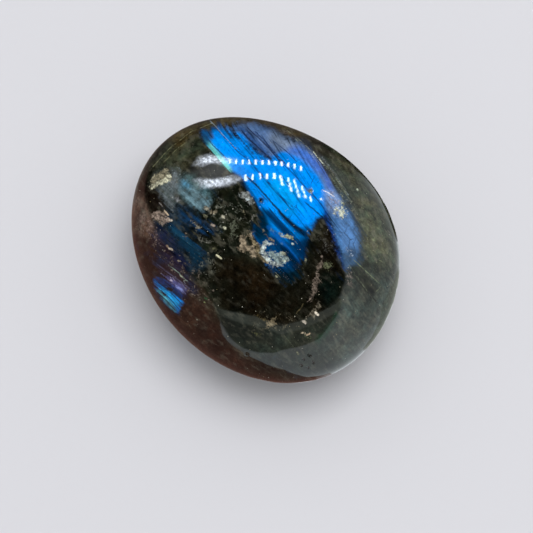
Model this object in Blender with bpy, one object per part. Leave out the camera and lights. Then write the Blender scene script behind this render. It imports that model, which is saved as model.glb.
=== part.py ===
# A polished labradorite pebble, tumbled and polished by hand size.
# One stone in one piece: a rounded, slightly three-cornered oval seen from above, domed on
# top and below, with a small worn flat on its underside that it rests on.
# Metres, +Z up. The origin is the middle of the stone's box, on the surface it rests on.
# +X runs along the stone's length and +Y across it.

import math

import bmesh
import bpy
from mathutils import Vector

MM = 0.001

# Driving dimensions of the stone
HALF_LENGTH = 33.0 * MM
HALF_WIDTH = 27.3 * MM
DOME_HEIGHT = 17.0 * MM
BELLY_DEPTH = 16.0 * MM

# The plan outline is an oval with a faint third and fourth wave round it,
# each given as a share of the radius and the direction of one of its crests
THREE_WAVE = 0.019
THREE_WAVE_CREST = math.radians(70.9)
FOUR_WAVE = 0.0067
FOUR_WAVE_CREST = math.radians(-17.8)

# The shoulders are a little fuller than an ellipsoid's, and the crown sits off centre
SHOULDER_FULLNESS = 0.018
CROWN_SHIFT = Vector((-1.2 * MM, 0.9 * MM, 0.0))

# The flat on the underside, and the soft edge where the belly runs into it
FLAT_CUT = 1.0 * MM
FLAT_SOFTNESS = 0.35 * MM

# Each subdivision splits every face of the starting icosahedron in four
SPHERE_SUBDIVISIONS = 5

STONE_COLOUR = (0.045, 0.052, 0.042, 1.0)
STONE_ROUGHNESS = 0.12
STONE_IOR = 1.56


def clear_scene():
    for old_object in list(bpy.data.objects):
        bpy.data.objects.remove(old_object, do_unlink=True)


def soften_flat(height):
    """Height of a point of the belly once the flat is worn into it."""
    flat_level = FLAT_CUT - BELLY_DEPTH
    above_flat = height - flat_level
    if above_flat >= FLAT_SOFTNESS:
        return height
    if above_flat <= -FLAT_SOFTNESS:
        return flat_level
    return flat_level + (above_flat + FLAT_SOFTNESS) ** 2 / (4.0 * FLAT_SOFTNESS)


def pebble_point(direction):
    """Point of the stone's surface that lies in a unit direction from its heart."""
    around = math.atan2(direction.y, direction.x)
    level = direction.z
    outward = 1.0 - level * level
    waves = THREE_WAVE * math.cos(3.0 * (around - THREE_WAVE_CREST))
    waves += FOUR_WAVE * math.cos(4.0 * (around - FOUR_WAVE_CREST))
    shoulder = 4.0 * SHOULDER_FULLNESS * outward * level * level
    swell = 1.0 + outward * waves + shoulder
    point = Vector((
        HALF_LENGTH * direction.x * swell,
        HALF_WIDTH * direction.y * swell,
        (DOME_HEIGHT if level > 0.0 else BELLY_DEPTH) * level * (1.0 + shoulder),
    ))
    if level > 0.0:
        point += CROWN_SHIFT * level * level
    point.z = soften_flat(point.z)
    return point


def move_to_frame(mesh):
    """Put the middle of the mesh's box over the origin and its flat on z = 0."""
    for axis in range(2):
        places = [vert.co[axis] for vert in mesh.verts]
        middle = (min(places) + max(places)) / 2.0
        for vert in mesh.verts:
            vert.co[axis] -= middle
    floor = min(vert.co.z for vert in mesh.verts)
    for vert in mesh.verts:
        vert.co.z -= floor


def stone_material():
    material = bpy.data.materials.new("polished_labradorite")
    material.use_nodes = True
    shader = material.node_tree.nodes["Principled BSDF"]
    shader.inputs["Base Color"].default_value = STONE_COLOUR
    shader.inputs["Roughness"].default_value = STONE_ROUGHNESS
    shader.inputs["Metallic"].default_value = 0.0
    shader.inputs["IOR"].default_value = STONE_IOR
    return material


def make_pebble():
    mesh = bmesh.new()
    bmesh.ops.create_icosphere(mesh, subdivisions=SPHERE_SUBDIVISIONS, radius=1.0)
    for vert in mesh.verts:
        vert.co = pebble_point(vert.co.normalized())
    move_to_frame(mesh)
    bmesh.ops.recalc_face_normals(mesh, faces=mesh.faces)

    data = bpy.data.meshes.new("pebble")
    mesh.to_mesh(data)
    mesh.free()
    data.shade_smooth()
    data.materials.append(stone_material())

    pebble = bpy.data.objects.new("pebble", data)
    bpy.context.scene.collection.objects.link(pebble)
    return pebble


clear_scene()
make_pebble()
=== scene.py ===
import math

import bpy
import numpy as np
from mathutils import Matrix, Vector, interpolate, noise
from mathutils.bvhtree import BVHTree


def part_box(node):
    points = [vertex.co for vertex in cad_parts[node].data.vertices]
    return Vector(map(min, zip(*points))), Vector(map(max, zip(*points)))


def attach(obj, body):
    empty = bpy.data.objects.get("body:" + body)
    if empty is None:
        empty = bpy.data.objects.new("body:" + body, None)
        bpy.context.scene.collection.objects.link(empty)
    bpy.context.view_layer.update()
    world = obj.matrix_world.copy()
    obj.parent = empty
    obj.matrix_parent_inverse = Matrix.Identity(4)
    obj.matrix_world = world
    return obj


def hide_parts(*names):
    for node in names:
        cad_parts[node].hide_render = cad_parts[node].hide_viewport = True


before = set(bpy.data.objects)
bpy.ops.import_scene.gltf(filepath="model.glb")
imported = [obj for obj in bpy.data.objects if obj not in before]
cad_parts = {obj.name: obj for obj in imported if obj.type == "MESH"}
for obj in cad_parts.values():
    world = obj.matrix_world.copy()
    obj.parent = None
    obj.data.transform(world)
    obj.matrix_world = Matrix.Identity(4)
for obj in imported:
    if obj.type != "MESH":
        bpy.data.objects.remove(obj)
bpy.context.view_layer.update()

# A polished labradorite pebble: a dark feldspar full of thin parallel lamellae, some sheets
# of which flash blue under a glassy, hand polished surface.

mm = 0.001
stoneNode = "pebble"


def addNode(tree, kind, inputs=None, **settings):
    # an input takes a plain value, a socket, or a node, which stands for its first output in use
    made = tree.nodes.new(kind)
    for name, value in settings.items():
        setattr(made, name, value)
    for key, value in (inputs or {}).items():
        socket = made.inputs[key]
        if isinstance(key, str):
            socket = next(s for s in made.inputs if s.name == key and s.enabled)
        if isinstance(value, bpy.types.Node):
            value = next(s for s in value.outputs if s.enabled)
        if isinstance(value, bpy.types.NodeSocket):
            tree.links.new(value, socket)
        else:
            socket.default_value = value
    return made


def linearColour(hexCode, alpha=1.0):
    # sRGB hex to the linear values that shaders use
    parts = [int(hexCode[i:i + 2], 16) / 255.0 for i in (1, 3, 5)]
    return [p / 12.92 if p <= 0.04045 else ((p + 0.055) / 1.055) ** 2.4 for p in parts] + [alpha]


def addObject(name, data):
    made = bpy.data.objects.new(name, data)
    bpy.context.scene.collection.objects.link(made)
    return made


# The photograph's view of the stone

photo = {
    "azimuth": 49.0,          # degrees, the way the camera faces, seen from above
    "elevation": 70.0,        # degrees, how steeply it looks down
    "distance": 500.0 * mm,   # to the stone's middle
    "frameWidth": 118.4 * mm,  # what the picture spans at the stone's middle
    "stoneAt": (-0.5, 5.2),   # mm, the stone's middle from the picture's middle, right and up
    "gridAt": (-0.2, 3.8),    # mm, the zero of the markings' grid from the picture's middle
}


def viewAxes(azimuth, elevation):
    turn = math.radians(azimuth)
    lift = math.radians(elevation)
    right = Vector((math.cos(turn), math.sin(turn), 0.0))
    ahead = Vector((-math.sin(turn) * math.cos(lift), math.cos(turn) * math.cos(lift), -math.sin(lift)))
    return right, right.cross(ahead), ahead


lowCorner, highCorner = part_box(stoneNode)
stoneMiddle = (lowCorner + highCorner) / 2.0
photoRight, photoUp, photoAhead = viewAxes(photo["azimuth"], photo["elevation"])
photoAim = stoneMiddle - (photoRight * photo["stoneAt"][0] + photoUp * photo["stoneAt"][1]) * mm
photoEye = photoAim - photoAhead * photo["distance"]


def makeCamera():
    lens = bpy.data.cameras.new("photoCamera")
    lens.sensor_width = 36.0
    lens.lens = lens.sensor_width * photo["distance"] / photo["frameWidth"]
    lens.clip_start = 0.01
    camera = addObject("photoCamera", lens)
    camera.location = photoEye
    camera.rotation_euler = photoAhead.to_track_quat("-Z", "Y").to_euler()
    bpy.context.scene.camera = camera


def onPhoto(points):
    # where points of the stone are seen, in mm right and up on the markings' grid
    fromEye = np.asarray(points) - np.array(photoEye)
    depth = fromEye @ np.array(photoAhead)
    scale = photo["distance"] / depth / mm
    across = (fromEye @ np.array(photoRight)) * scale - photo["gridAt"][0]
    up = (fromEye @ np.array(photoUp)) * scale - photo["gridAt"][1]
    return across, up


makeCamera()
print("camera placed")


# The stone's form: an oval with a faint third and fourth wave round it, domed above and
# below, with a worn flat that it rests on

pebble = {
    "Half Length": 33.0 * mm,
    "Half Width": 27.3 * mm,
    "Dome Height": 17.0 * mm,
    "Belly Depth": 16.0 * mm,
    "Three Wave": 0.019,                      # share of the radius
    "Three Wave Crest": math.radians(70.9),
    "Four Wave": 0.0067,
    "Four Wave Crest": math.radians(-17.8),
    "Shoulder Fullness": 0.018,
    "Crown Shift": (-1.2 * mm, 0.9 * mm, 0.0),
    "Flat Cut": 1.0 * mm,
    "Flat Softness": 0.35 * mm,
    "Points Across": 151,                     # of the cube that is rounded
    "Points Up": 85,
    "Polish Depth": 0.09 * mm,                # the hand polish leaves the surface faintly uneven
    "Polish Size": 15.0 * mm,
    "Polish From": 1.0 * mm,                  # over the ground, where the unevenness begins
    "Polish To": 6.0 * mm,                    # and where all of it is there
}


def makePebbleTree():
    tree = bpy.data.node_groups.new("pebbleForm", "GeometryNodeTree")
    for name, value in pebble.items():
        kind = {int: "NodeSocketInt", tuple: "NodeSocketVector"}.get(type(value), "NodeSocketFloat")
        tree.interface.new_socket(name, in_out="INPUT", socket_type=kind)
    tree.interface.new_socket("Material", in_out="INPUT", socket_type="NodeSocketMaterial")
    tree.interface.new_socket("Geometry", in_out="OUTPUT", socket_type="NodeSocketGeometry")
    given = tree.nodes.new("NodeGroupInput").outputs

    # a cube's grid, widened towards its edges and rounded, gives even points all over
    cube = addNode(tree, "GeometryNodeMeshCube", {
        "Size": (2.0, 2.0, 2.0), "Vertices X": given["Points Across"], "Vertices Y": given["Points Across"],
        "Vertices Z": given["Points Up"]})
    place = addNode(tree, "GeometryNodeInputPosition")
    angle = addNode(tree, "ShaderNodeVectorMath", {0: place, 3: math.pi / 4.0}, operation="SCALE")
    widened = addNode(tree, "ShaderNodeVectorMath", {0: angle}, operation="TANGENT")
    onBall = addNode(tree, "ShaderNodeVectorMath", {0: widened}, operation="NORMALIZE")
    ball = addNode(tree, "GeometryNodeSetPosition", {"Geometry": cube.outputs["Mesh"], "Position": onBall})

    # how far round and how high on the ball each point is
    heading = addNode(tree, "ShaderNodeSeparateXYZ", {0: place}).outputs
    around = addNode(tree, "ShaderNodeMath", {0: heading["Y"], 1: heading["X"]}, operation="ARCTAN2")
    level = heading["Z"]
    levelSquared = addNode(tree, "ShaderNodeMath", {0: level, 1: level}, operation="MULTIPLY")
    outward = addNode(tree, "ShaderNodeMath", {0: 1.0, 1: levelSquared}, operation="SUBTRACT")

    # the waves of the plan outline, and the fuller shoulders
    swell = None
    for count, name in ((3.0, "Three Wave"), (4.0, "Four Wave")):
        turned = addNode(tree, "ShaderNodeMath", {
            0: around, 1: given[name + " Crest"]}, operation="SUBTRACT")
        phase = addNode(tree, "ShaderNodeMath", {0: turned, 1: count}, operation="MULTIPLY")
        wave = addNode(tree, "ShaderNodeMath", {0: phase}, operation="COSINE")
        wave = addNode(tree, "ShaderNodeMath", {0: wave, 1: given[name]}, operation="MULTIPLY")
        swell = addNode(tree, "ShaderNodeMath", {
            0: wave, 1: outward, 2: 1.0 if swell is None else swell}, operation="MULTIPLY_ADD")
    shoulder = addNode(tree, "ShaderNodeMath", {0: outward, 1: levelSquared}, operation="MULTIPLY")
    shoulder = addNode(tree, "ShaderNodeMath", {
        0: shoulder, 1: given["Shoulder Fullness"]}, operation="MULTIPLY")
    swell = addNode(tree, "ShaderNodeMath", {0: shoulder, 1: 4.0, 2: swell}, operation="MULTIPLY_ADD")
    rise = addNode(tree, "ShaderNodeMath", {0: shoulder, 1: 4.0, 2: 1.0}, operation="MULTIPLY_ADD")

    # the ball stretched to the stone's half sizes, its crown moved off centre
    above = addNode(tree, "ShaderNodeMath", {0: level, 1: 0.0}, operation="GREATER_THAN")
    height = addNode(tree, "ShaderNodeMix", {
        "Factor": above, "A": given["Belly Depth"], "B": given["Dome Height"]}, data_type="FLOAT")
    height = addNode(tree, "ShaderNodeMath", {0: height, 1: rise}, operation="MULTIPLY")
    length = addNode(tree, "ShaderNodeMath", {0: given["Half Length"], 1: swell}, operation="MULTIPLY")
    width = addNode(tree, "ShaderNodeMath", {0: given["Half Width"], 1: swell}, operation="MULTIPLY")
    halves = addNode(tree, "ShaderNodeCombineXYZ", {"X": length, "Y": width, "Z": height})
    crown = addNode(tree, "ShaderNodeMath", {0: above, 1: levelSquared}, operation="MULTIPLY")
    crownMove = addNode(tree, "ShaderNodeVectorMath", {
        0: given["Crown Shift"], 3: crown}, operation="SCALE")
    body = addNode(tree, "ShaderNodeVectorMath", {
        0: place, 1: halves, 2: crownMove}, operation="MULTIPLY_ADD")

    # the flat of the underside, which the belly runs into with a soft edge
    bodyParts = addNode(tree, "ShaderNodeSeparateXYZ", {0: body}).outputs
    flatLevel = addNode(tree, "ShaderNodeMath", {
        0: given["Flat Cut"], 1: given["Belly Depth"]}, operation="SUBTRACT")
    softness = given["Flat Softness"]
    overFlat = addNode(tree, "ShaderNodeMath", {0: bodyParts["Z"], 1: flatLevel}, operation="SUBTRACT")
    lifted = addNode(tree, "ShaderNodeMath", {0: overFlat, 1: softness}, operation="ADD")
    twice = addNode(tree, "ShaderNodeMath", {0: softness, 1: 2.0}, operation="MULTIPLY")
    inBlend = addNode(tree, "ShaderNodeClamp", {"Value": lifted, "Min": 0.0, "Max": twice})
    blended = addNode(tree, "ShaderNodeMath", {0: inBlend, 1: inBlend}, operation="MULTIPLY")
    blended = addNode(tree, "ShaderNodeMath", {0: blended, 1: softness}, operation="DIVIDE")
    clear = addNode(tree, "ShaderNodeMath", {0: overFlat, 1: softness}, operation="SUBTRACT")
    clear = addNode(tree, "ShaderNodeMath", {0: clear, 1: 0.0}, operation="MAXIMUM")
    worn = addNode(tree, "ShaderNodeMath", {0: blended, 1: 0.25, 2: clear}, operation="MULTIPLY_ADD")
    worn = addNode(tree, "ShaderNodeMath", {0: worn, 1: flatLevel}, operation="ADD")
    formed = addNode(tree, "ShaderNodeCombineXYZ", {"X": bodyParts["X"], "Y": bodyParts["Y"], "Z": worn})
    stone = addNode(tree, "GeometryNodeSetPosition", {"Geometry": ball, "Position": formed})

    # the middle of its box goes over the origin, and its flat on the ground
    extent = addNode(tree, "GeometryNodeBoundBox", {"Geometry": stone}).outputs
    middle = addNode(tree, "ShaderNodeVectorMath", {0: extent["Min"], 1: extent["Max"]}, operation="ADD")
    middle = addNode(tree, "ShaderNodeVectorMath", {0: middle, 1: (-0.5, -0.5, 0.0)}, operation="MULTIPLY")
    offset = addNode(tree, "ShaderNodeVectorMath", {
        0: extent["Min"], 1: (0.0, 0.0, -1.0), 2: middle}, operation="MULTIPLY_ADD")
    stone = addNode(tree, "GeometryNodeSetPosition", {"Geometry": stone, "Offset": offset})

    # the polish: faint low waves, none near the flat
    noiseScale = addNode(tree, "ShaderNodeMath", {0: 1.0, 1: given["Polish Size"]}, operation="DIVIDE")
    waves = addNode(tree, "ShaderNodeTexNoise", {"Vector": place, "Scale": noiseScale, "Detail": 1.0})
    waves = addNode(tree, "ShaderNodeMath", {0: waves, 1: 0.5}, operation="SUBTRACT")
    waves = addNode(tree, "ShaderNodeMath", {0: waves, 1: given["Polish Depth"]}, operation="MULTIPLY")
    placed = addNode(tree, "ShaderNodeSeparateXYZ", {0: place}).outputs
    free = addNode(tree, "ShaderNodeMapRange", {
        "Value": placed["Z"], "From Min": given["Polish From"], "From Max": given["Polish To"]},
        interpolation_type="SMOOTHSTEP")
    waves = addNode(tree, "ShaderNodeMath", {0: waves, 1: free}, operation="MULTIPLY")
    outwards = addNode(tree, "GeometryNodeInputNormal")
    push = addNode(tree, "ShaderNodeVectorMath", {0: outwards, 3: waves}, operation="SCALE")
    stone = addNode(tree, "GeometryNodeSetPosition", {"Geometry": stone, "Offset": push})

    stone = addNode(tree, "GeometryNodeSetShadeSmooth", {"Geometry": stone})
    stone = addNode(tree, "GeometryNodeRealizeInstances", {"Geometry": stone})
    stone = addNode(tree, "GeometryNodeSetMaterial", {"Geometry": stone, "Material": given["Material"]})
    addNode(tree, "NodeGroupOutput", {"Geometry": stone})
    return tree


def makePebble(material):
    tree = makePebbleTree()
    stone = addObject("polishedPebble", bpy.data.meshes.new("polishedPebble"))
    modifier = stone.modifiers.new("pebbleForm", "NODES")
    modifier.node_group = tree
    values = dict(pebble, Material=material)
    for item in tree.interface.items_tree:
        if item.in_out == "INPUT":
            modifier[item.identifier] = values[item.name]
    evaluated = stone.evaluated_get(bpy.context.evaluated_depsgraph_get())
    solid = bpy.data.meshes.new_from_object(evaluated)
    stone.modifiers.remove(modifier)
    stone.data = solid
    return stone


# Where things are on the stone. Each face is marked as one view sees it, in mm right and up:
# the photograph's face on the grid laid over the photograph, the others from the stone's middle.
# A view is an azimuth and an elevation in degrees.

groundTint = ("#181a14", 0.35)    # the body's colour, and how much paler stone wisps through it
groundFlash = ("#0a2846", 0.8)    # the flash's colour where no sheet gives one, and its stripes

markings = {
    "photo": {
        "view": None,
        # tints of the body: colour, wisps, softness of the edge in mm, outline
        "tints": [
            ("#211612", 0.24, 2.2, [(-34, 14), (-27, 12), (-24, 6), (-22, -2), (-18, -9), (-13, -13),
                (-10, -17), (-8, -20), (-4, -23.5), (0, -26), (5, -28.5), (2, -34), (-15, -34),
                (-34, -15)]),
            ("#52453f", 0.5, 1.8, [(-31, 12), (-26.5, 12), (-25.5, 5.6), (-26.5, 3), (-30, 3.6)]),
            ("#2c201a", 0.24, 2.0, [(-19, -11), (-15, -12), (-12.5, -16), (-15, -18), (-19, -16)]),
            ("#464c4e", 0.3, 1.6, [(-25, 14), (-22, 19.5), (-18.6, 18.6), (-18.6, 9), (-20.4, 7),
                (-23, 10)]),
            ("#46616c", 0.3, 1.6, [(-19.6, 17), (-14, 15), (-10, 11.6), (-10.4, 8.6), (-14, 7.4),
                (-18.6, 9.6)]),
            ("#1a2734", 0.3, 1.6, [(-20, 10.5), (-12, 8), (-9.6, 3.6), (-13, -4.6), (-17, -5.4),
                (-24.5, 3), (-24, 6)]),
            ("#34405a", 0.3, 1.8, [(-8, 28.4), (0, 27.8), (8, 24.4), (13, 19), (9, 18), (1, 23),
                (-7, 26)]),
            ("#34506e", 0.3, 1.6, [(13.4, 13), (17.6, 11), (21.4, 6), (22, 0), (19.4, -4.6), (17, -4),
                (15, 4)]),
            ("#2c2f25", 0.3, 2.0, [(-26, 20), (-17, 29), (-11, 29), (-12.5, 22), (-16, 19), (-20, 16)]),
            ("#39331f", 0.3, 1.4, [(-22, 25), (-16, 28), (-8, 30), (2, 29.5), (10, 26), (6, 24),
                (0, 26.8), (-8, 27.6), (-15, 26), (-20, 22.5)]),
            ("#31352b", 0.5, 2.5, [(11, 24), (15, 16), (20, 8), (22, -1), (26, -6), (33, -4), (33, 6),
                (29, 14), (20, 22)]),
            ("#414638", 0.55, 2.2, [(21, 13), (24, 9), (27, 4), (27, -1), (23, -3), (21, 2), (19, 8)]),
            ("#1c211d", 0.22, 2.5, [(-6, -18), (2, -18.5), (10, -18), (16, -14), (22, -18), (17, -28),
                (8, -30), (0, -26.5), (-6, -23)]),
            ("#343b37", 0.34, 2.5, [(17, -11), (21, -5), (27, -6), (32, -8), (28, -20), (18, -27),
                (13, -23), (15, -17)]),
            ("#1b1f18", 0.15, 0.6, [(19.2, -3), (22.4, -5.6), (25.3, -8.4), (24.2, -10.6), (21.4, -8),
                (18.3, -4.8)]),
            ("#100e09", 0.12, 1.5, [(-11, -3.5), (-7, -2), (-3, -2.5), (1, -4.5), (5, -8.5), (9, -4),
                (11, 2), (14, 6), (15.5, 3), (17, -2), (17.8, -8), (16, -13), (10, -17), (3, -18.5),
                (-4, -15.5), (-9, -14.5), (-11.5, -11)]),
            ("#19120a", 0.12, 2.5, [(-6, -5), (0, -5), (3, -8), (0, -12), (-6, -11)]),
            ("#060d0b", 0.1, 1.5, [(12, -5), (16, -4.5), (17.5, -10), (13.5, -13), (11.5, -9)]),
            ("#10140e", 0.35, 2.0, [(-12, 14), (-6, 16), (-3, 12), (-2, 7), (-3, 3), (-8, 0), (-13, -3),
                (-16, 1), (-17, 7), (-15, 11)]),
            ("#0d0f0b", 0.2, 1.5, [(-11, -13), (-8, -14.5), (-4, -15.5), (-3, -18), (-5, -21), (-8, -20),
                (-10, -17)]),
            ("#15100d", 0.2, 0.9, [(-27, 16.5), (-26, 14), (-24.3, 13.2), (-23.3, 11), (-22.3, 9),
                (-23.5, 8.3), (-25.5, 8.4), (-26.6, 10), (-27.4, 12)]),
            ("#0c2418", 0.1, 0.7, [(10.5, -20.8), (12.5, -18.5), (14, -16), (15, -13.5), (16, -14),
                (15, -17), (13, -20), (11.5, -21.3)]),
        ],
        # the flash is painted reflected light: the lamellae's schiller laid into the base colour at fixed
        # places
        # sheets that flash: colour, how strongly the lamellae stripe it, softness in mm, how solid its
        # outline makes the flash (mm of depth, or 0 where it only colours it), outline
        "sheets": [
            ("#5674a2", 0.7, 1.4, 0.9, [(-11.4, 27.3), (-6, 28.4), (-2.5, 28.1), (1, 26.8), (4, 24.9),
                (7.5, 23.6), (10.5, 21.4), (12.8, 18.8), (14.3, 15.7), (16, 12.6), (17.6, 9.6),
                (13.5, 9.5), (9, 14), (2, 19), (-5, 24), (-9, 25.4)]),
            ("#7c8ea8", 0.6, 1.6, 0, [(1.5, 26.5), (5, 24.5), (8, 23), (9, 21.5), (6, 21.5), (3, 22.5),
                (0.5, 24.5)]),
            ("#0090fc", 0.3, 0.5, 3.0, [(-14, 26.2), (-12, 26), (-9.6, 26.9), (-7.6, 25.7), (-5.6, 26.1),
                (-3.8, 24.2), (-1.9, 22), (0.3, 20.3), (2.1, 20.9), (3.4, 21.8), (5, 21.6), (8, 20.3),
                (10.5, 18), (12.4, 15.4), (13.4, 12.5), (13.6, 9.5), (14, 7.5), (12, 7.2), (11, 6),
                (10.2, 3.5), (9.1, 1), (8.6, -1), (8, -3.5), (7.2, -5.8), (6, -8), (4.5, -8.4), (2.8, -7),
                (0.6, -4.6), (-1.6, -0.5), (-2.6, 2.5), (-2.8, 4.5), (-1.8, 6.5), (-1.2, 8.8), (-2, 11),
                (-3.7, 13), (-4.5, 15), (-5.5, 16.4), (-7, 17.2), (-8.6, 18), (-10.2, 19.6),
                (-11.6, 21.3), (-12.7, 22.8), (-13.6, 24.6)]),
            ("#0092fc", 0.35, 2.0, 0, [(-13, 26), (-8, 27), (-4, 24), (-2, 20), (-6, 19), (-10, 22)]),
            ("#34588f", 0.6, 0.5, 0, [(-6.6, 27.4), (-4.6, 27), (-1.6, 23.9), (1.2, 21), (1.6, 19.6),
                (0, 20.4), (-2.2, 22.4), (-4.4, 25)]),
            ("#4a4658", 0.6, 0.5, 0, [(-13.8, 26.6), (-12.6, 26.8), (-11.4, 25), (-12.2, 24.4),
                (-13.4, 25.8)]),
            ("#009df2", 0.25, 2.2, 0, [(-1, 15), (3, 16.5), (7.5, 13), (7, 9), (5.5, 7.3), (3.5, 9.5),
                (1, 12.3)]),
            ("#4678d4", 0.6, 1.2, 0, [(5, 22.5), (8, 23.2), (11, 20.3), (12.6, 17.5), (11.5, 17),
                (9.5, 19), (7, 20.8), (5.2, 21.3)]),
            ("#4468bc", 0.7, 0.8, 0, [(10, 21.8), (13, 18.3), (14.4, 15.5), (15, 12.5), (13.8, 13.5),
                (13.1, 16), (11.7, 18.2), (9.7, 20.7)]),
            ("#0070c3", 0.7, 0.7, 0, [(-1.5, 9), (1, 9.2), (3, 7), (5, 4.8), (7, 4), (9.6, 5.5), (10, 3),
                (6, 1), (3, 2.5), (-2.4, 5.5)]),
            ("#003460", 0.5, 1.0, 0, [(-2.8, 4.4), (2, 3.4), (6, 1.5), (9.6, 3.5), (10, 0), (9, -3.5),
                (5, -6), (1, -4.6), (-1.6, -0.5)]),
            ("#051c28", 0.9, 1.0, 0, [(1, -4.4), (5, -4.8), (9, -2.5), (9, -6), (5, -9.5), (0.5, -6)]),
            ("#06141c", 0.6, 0.8, 0, [(9.6, 3), (11, 3.2), (11, 0), (9.4, -4.5), (8.2, -5), (8.7, -1),
                (8.9, 2)]),
            ("#00243c", 0.8, 0.7, 0, [(-3, 4.5), (-2.2, 8.8), (-0.6, 9), (0.5, 7), (1.3, 4.4), (0.4, 2.4),
                (-2.4, 2)]),
            ("#00305c", 0.5, 0.35, 0, [(0.4, 9.2), (3.2, 6.3), (6.1, 3.2), (8.2, 0.5), (9.4, -2.6),
                (8.4, -2.4), (7, -0.2), (4.8, 2.4), (2.2, 5.4), (0.1, 8)]),
            ("#00284c", 0.4, 0.3, 0, [(2.8, 8.9), (6.2, 5.9), (9.4, 3.8), (9.8, 2.4), (7.6, 3.2),
                (5, 5.6), (2.6, 8.2)]),
            ("#0a5cb0", 0.4, 0.25, 0, [(0.6, 5.6), (3.4, 2.6), (6.6, -1.2), (8.2, -3.6), (7.4, -3.2),
                (5.2, -0.8), (2.4, 2.4), (0, 5)]),
            ("#002240", 0.5, 0.4, 0, [(3.4, 1.4), (5.8, -0.6), (8.4, -4.2), (8, -6), (6, -3.4),
                (3.4, -0.4)]),
            ("#7ae6e0", 0.35, 0.5, 0, [(-13.8, 25), (-12.6, 22.6), (-11.2, 20.2), (-9.6, 18.2),
                (-7.6, 17), (-7.6, 18), (-8.8, 19.8), (-10.4, 21.6), (-12, 23.4), (-13.2, 25.2)]),
            ("#5080ba", 0.5, 0.9, 0.6, [(13.2, 10.4), (15, 10.8), (16.8, 9.4), (18.6, 8.6), (19.6, 6),
                (20.9, 3.2), (21.1, 0.5), (20.4, -1.6), (19.2, -3.2), (18.4, -4.6), (17.6, -4.8),
                (17, -3), (16.4, -0.5), (15.4, 2.5), (14.8, 5), (14, 7.5)]),
            ("#84a6dc", 0.4, 1.3, 0, [(12.8, 12.8), (15, 12.8), (17, 9.6), (16.2, 7.3), (14, 8.5)]),
            ("#1450b0", 0.4, 0.4, 0, [(13.4, 9), (14, 7), (15.1, 3.6), (16.2, 0.4), (17.4, -3),
                (18.4, -5), (17.2, -5), (16.2, -3), (15, 1), (13.8, 5), (12.8, 8)]),
            ("#35577c", 0.5, 1.0, 0, [(16.9, -1.4), (18.4, 0.4), (20.6, 0.2), (20.4, -1.6), (18.4, -4.6),
                (17.4, -4.8)]),
            ("#1c5c96", 0.5, 0.8, 0, [(-15, 27), (-12.6, 27.2), (-11.9, 25), (-12.7, 23.2), (-14, 24.4)]),
            ("#1d223e", 0.9, 0.9, 0.7, [(-25, 6), (-22, 4.5), (-19, 1), (-17, -2.8), (-17.3, -4.8),
                (-20, -4.6), (-22.5, -2), (-24.2, 1.5), (-25.5, 4)]),
            ("#12344a", 0.9, 0.8, 1.0, [(-22, 5.6), (-20, 5.2), (-17, 2.7), (-14, -0.3), (-13.3, -3),
                (-14.4, -4.4), (-16.5, -3), (-17.5, -0.5), (-20, 2.5), (-21.5, 4.3)]),
            ("#163c62", 0.9, 0.8, 0.7, [(-19.8, 10.5), (-18, 9.3), (-13, 6.7), (-10.3, 4.2), (-10.2, 2.8),
                (-12.5, 3.4), (-14, 2.3), (-17, 4.8), (-19.5, 6.3)]),
            ("#70909c", 0.6, 1.0, 0.7, [(-20, 16), (-17.5, 16), (-14, 13.6), (-10.8, 11.2), (-11, 9.4),
                (-14, 8.2), (-16, 9), (-18.6, 10.6), (-19.8, 12)]),
            ("#4a86a8", 0.4, 1.0, 0, [(-19, 15), (-18, 15.6), (-16.6, 14.6), (-16.8, 13.6),
                (-18.2, 13.6)]),
            ("#70797d", 0.6, 1.1, 0.7, [(-24.4, 13.4), (-22, 15.4), (-20.8, 18), (-19.2, 17.6),
                (-19.5, 12), (-19.8, 8.4), (-20.8, 7.4), (-22.8, 10)]),
            ("#30272f", 0.9, 0.9, 0.7, [(-24, -3.2), (-21.5, -2.8), (-17, -6.8), (-16.8, -9.8),
                (-18.5, -10.4), (-21, -8.2), (-24.6, -6.2)]),
            ("#5c5f9a", 1.0, 0.6, 0.7, [(-22.4, -5.8), (-20.6, -6.6), (-18.8, -8), (-17.2, -9.4),
                (-17.6, -10.3), (-19.6, -9.1), (-21.4, -7.4)]),
            ("#0098ff", 0.95, 0.5, 2.4, [(-25.2, -6.6), (-23.6, -6.3), (-21.2, -8.2), (-18.6, -10.2),
                (-18.2, -12), (-19.2, -14.2), (-20.4, -13.6), (-22.8, -11.4), (-24.4, -9)]),
            ("#1cb4ff", 0.95, 0.6, 0, [(-23.8, -8.4), (-22.4, -8.6), (-19.4, -11.2), (-19, -12.6),
                (-20.6, -12.8), (-23, -10.2)]),
            ("#1450a4", 0.9, 0.5, 0, [(-25.2, -6.4), (-23.4, -6.2), (-20.4, -8.2), (-18, -10.4),
                (-18.6, -11.4), (-21, -9), (-23.6, -7.6)]),
            ("#5cc4d8", 0.9, 0.4, 0, [(-24.5, -8.8), (-23.4, -8.8), (-21.6, -11), (-20, -13),
                (-19.9, -14.2), (-21.5, -12.8), (-23.2, -10.8)]),
        ],
        # frosty inclusions: colour, how much of them is there, softness of the edge in mm, outline
        "frost": [
            ("#6e7268", 0.32, 1.5, [(-13, 11), (-9, 12), (-5, 10.5), (-3.4, 7.5), (-4.5, 4.5), (-6, 2),
                (-9, 2), (-12.5, 4.5), (-14.5, 8)]),
            ("#62645a", 0.36, 1.5, [(-15, -1.5), (-11, -1), (-9.5, -3), (-10.5, -6), (-12.5, -8),
                (-15, -6), (-16, -3.5)]),
            ("#6e645a", 0.32, 1.5, [(-26, 6), (-23, 5), (-17, -2), (-12, -6), (-12, -12), (-16, -12),
                (-22, -5), (-26, 0)]),
            ("#5a5546", 0.32, 1.0, [(-3, -14.5), (1, -13), (6, -13.5), (8, -16), (4, -19), (-2, -19.5),
                (-5, -17)]),
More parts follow.
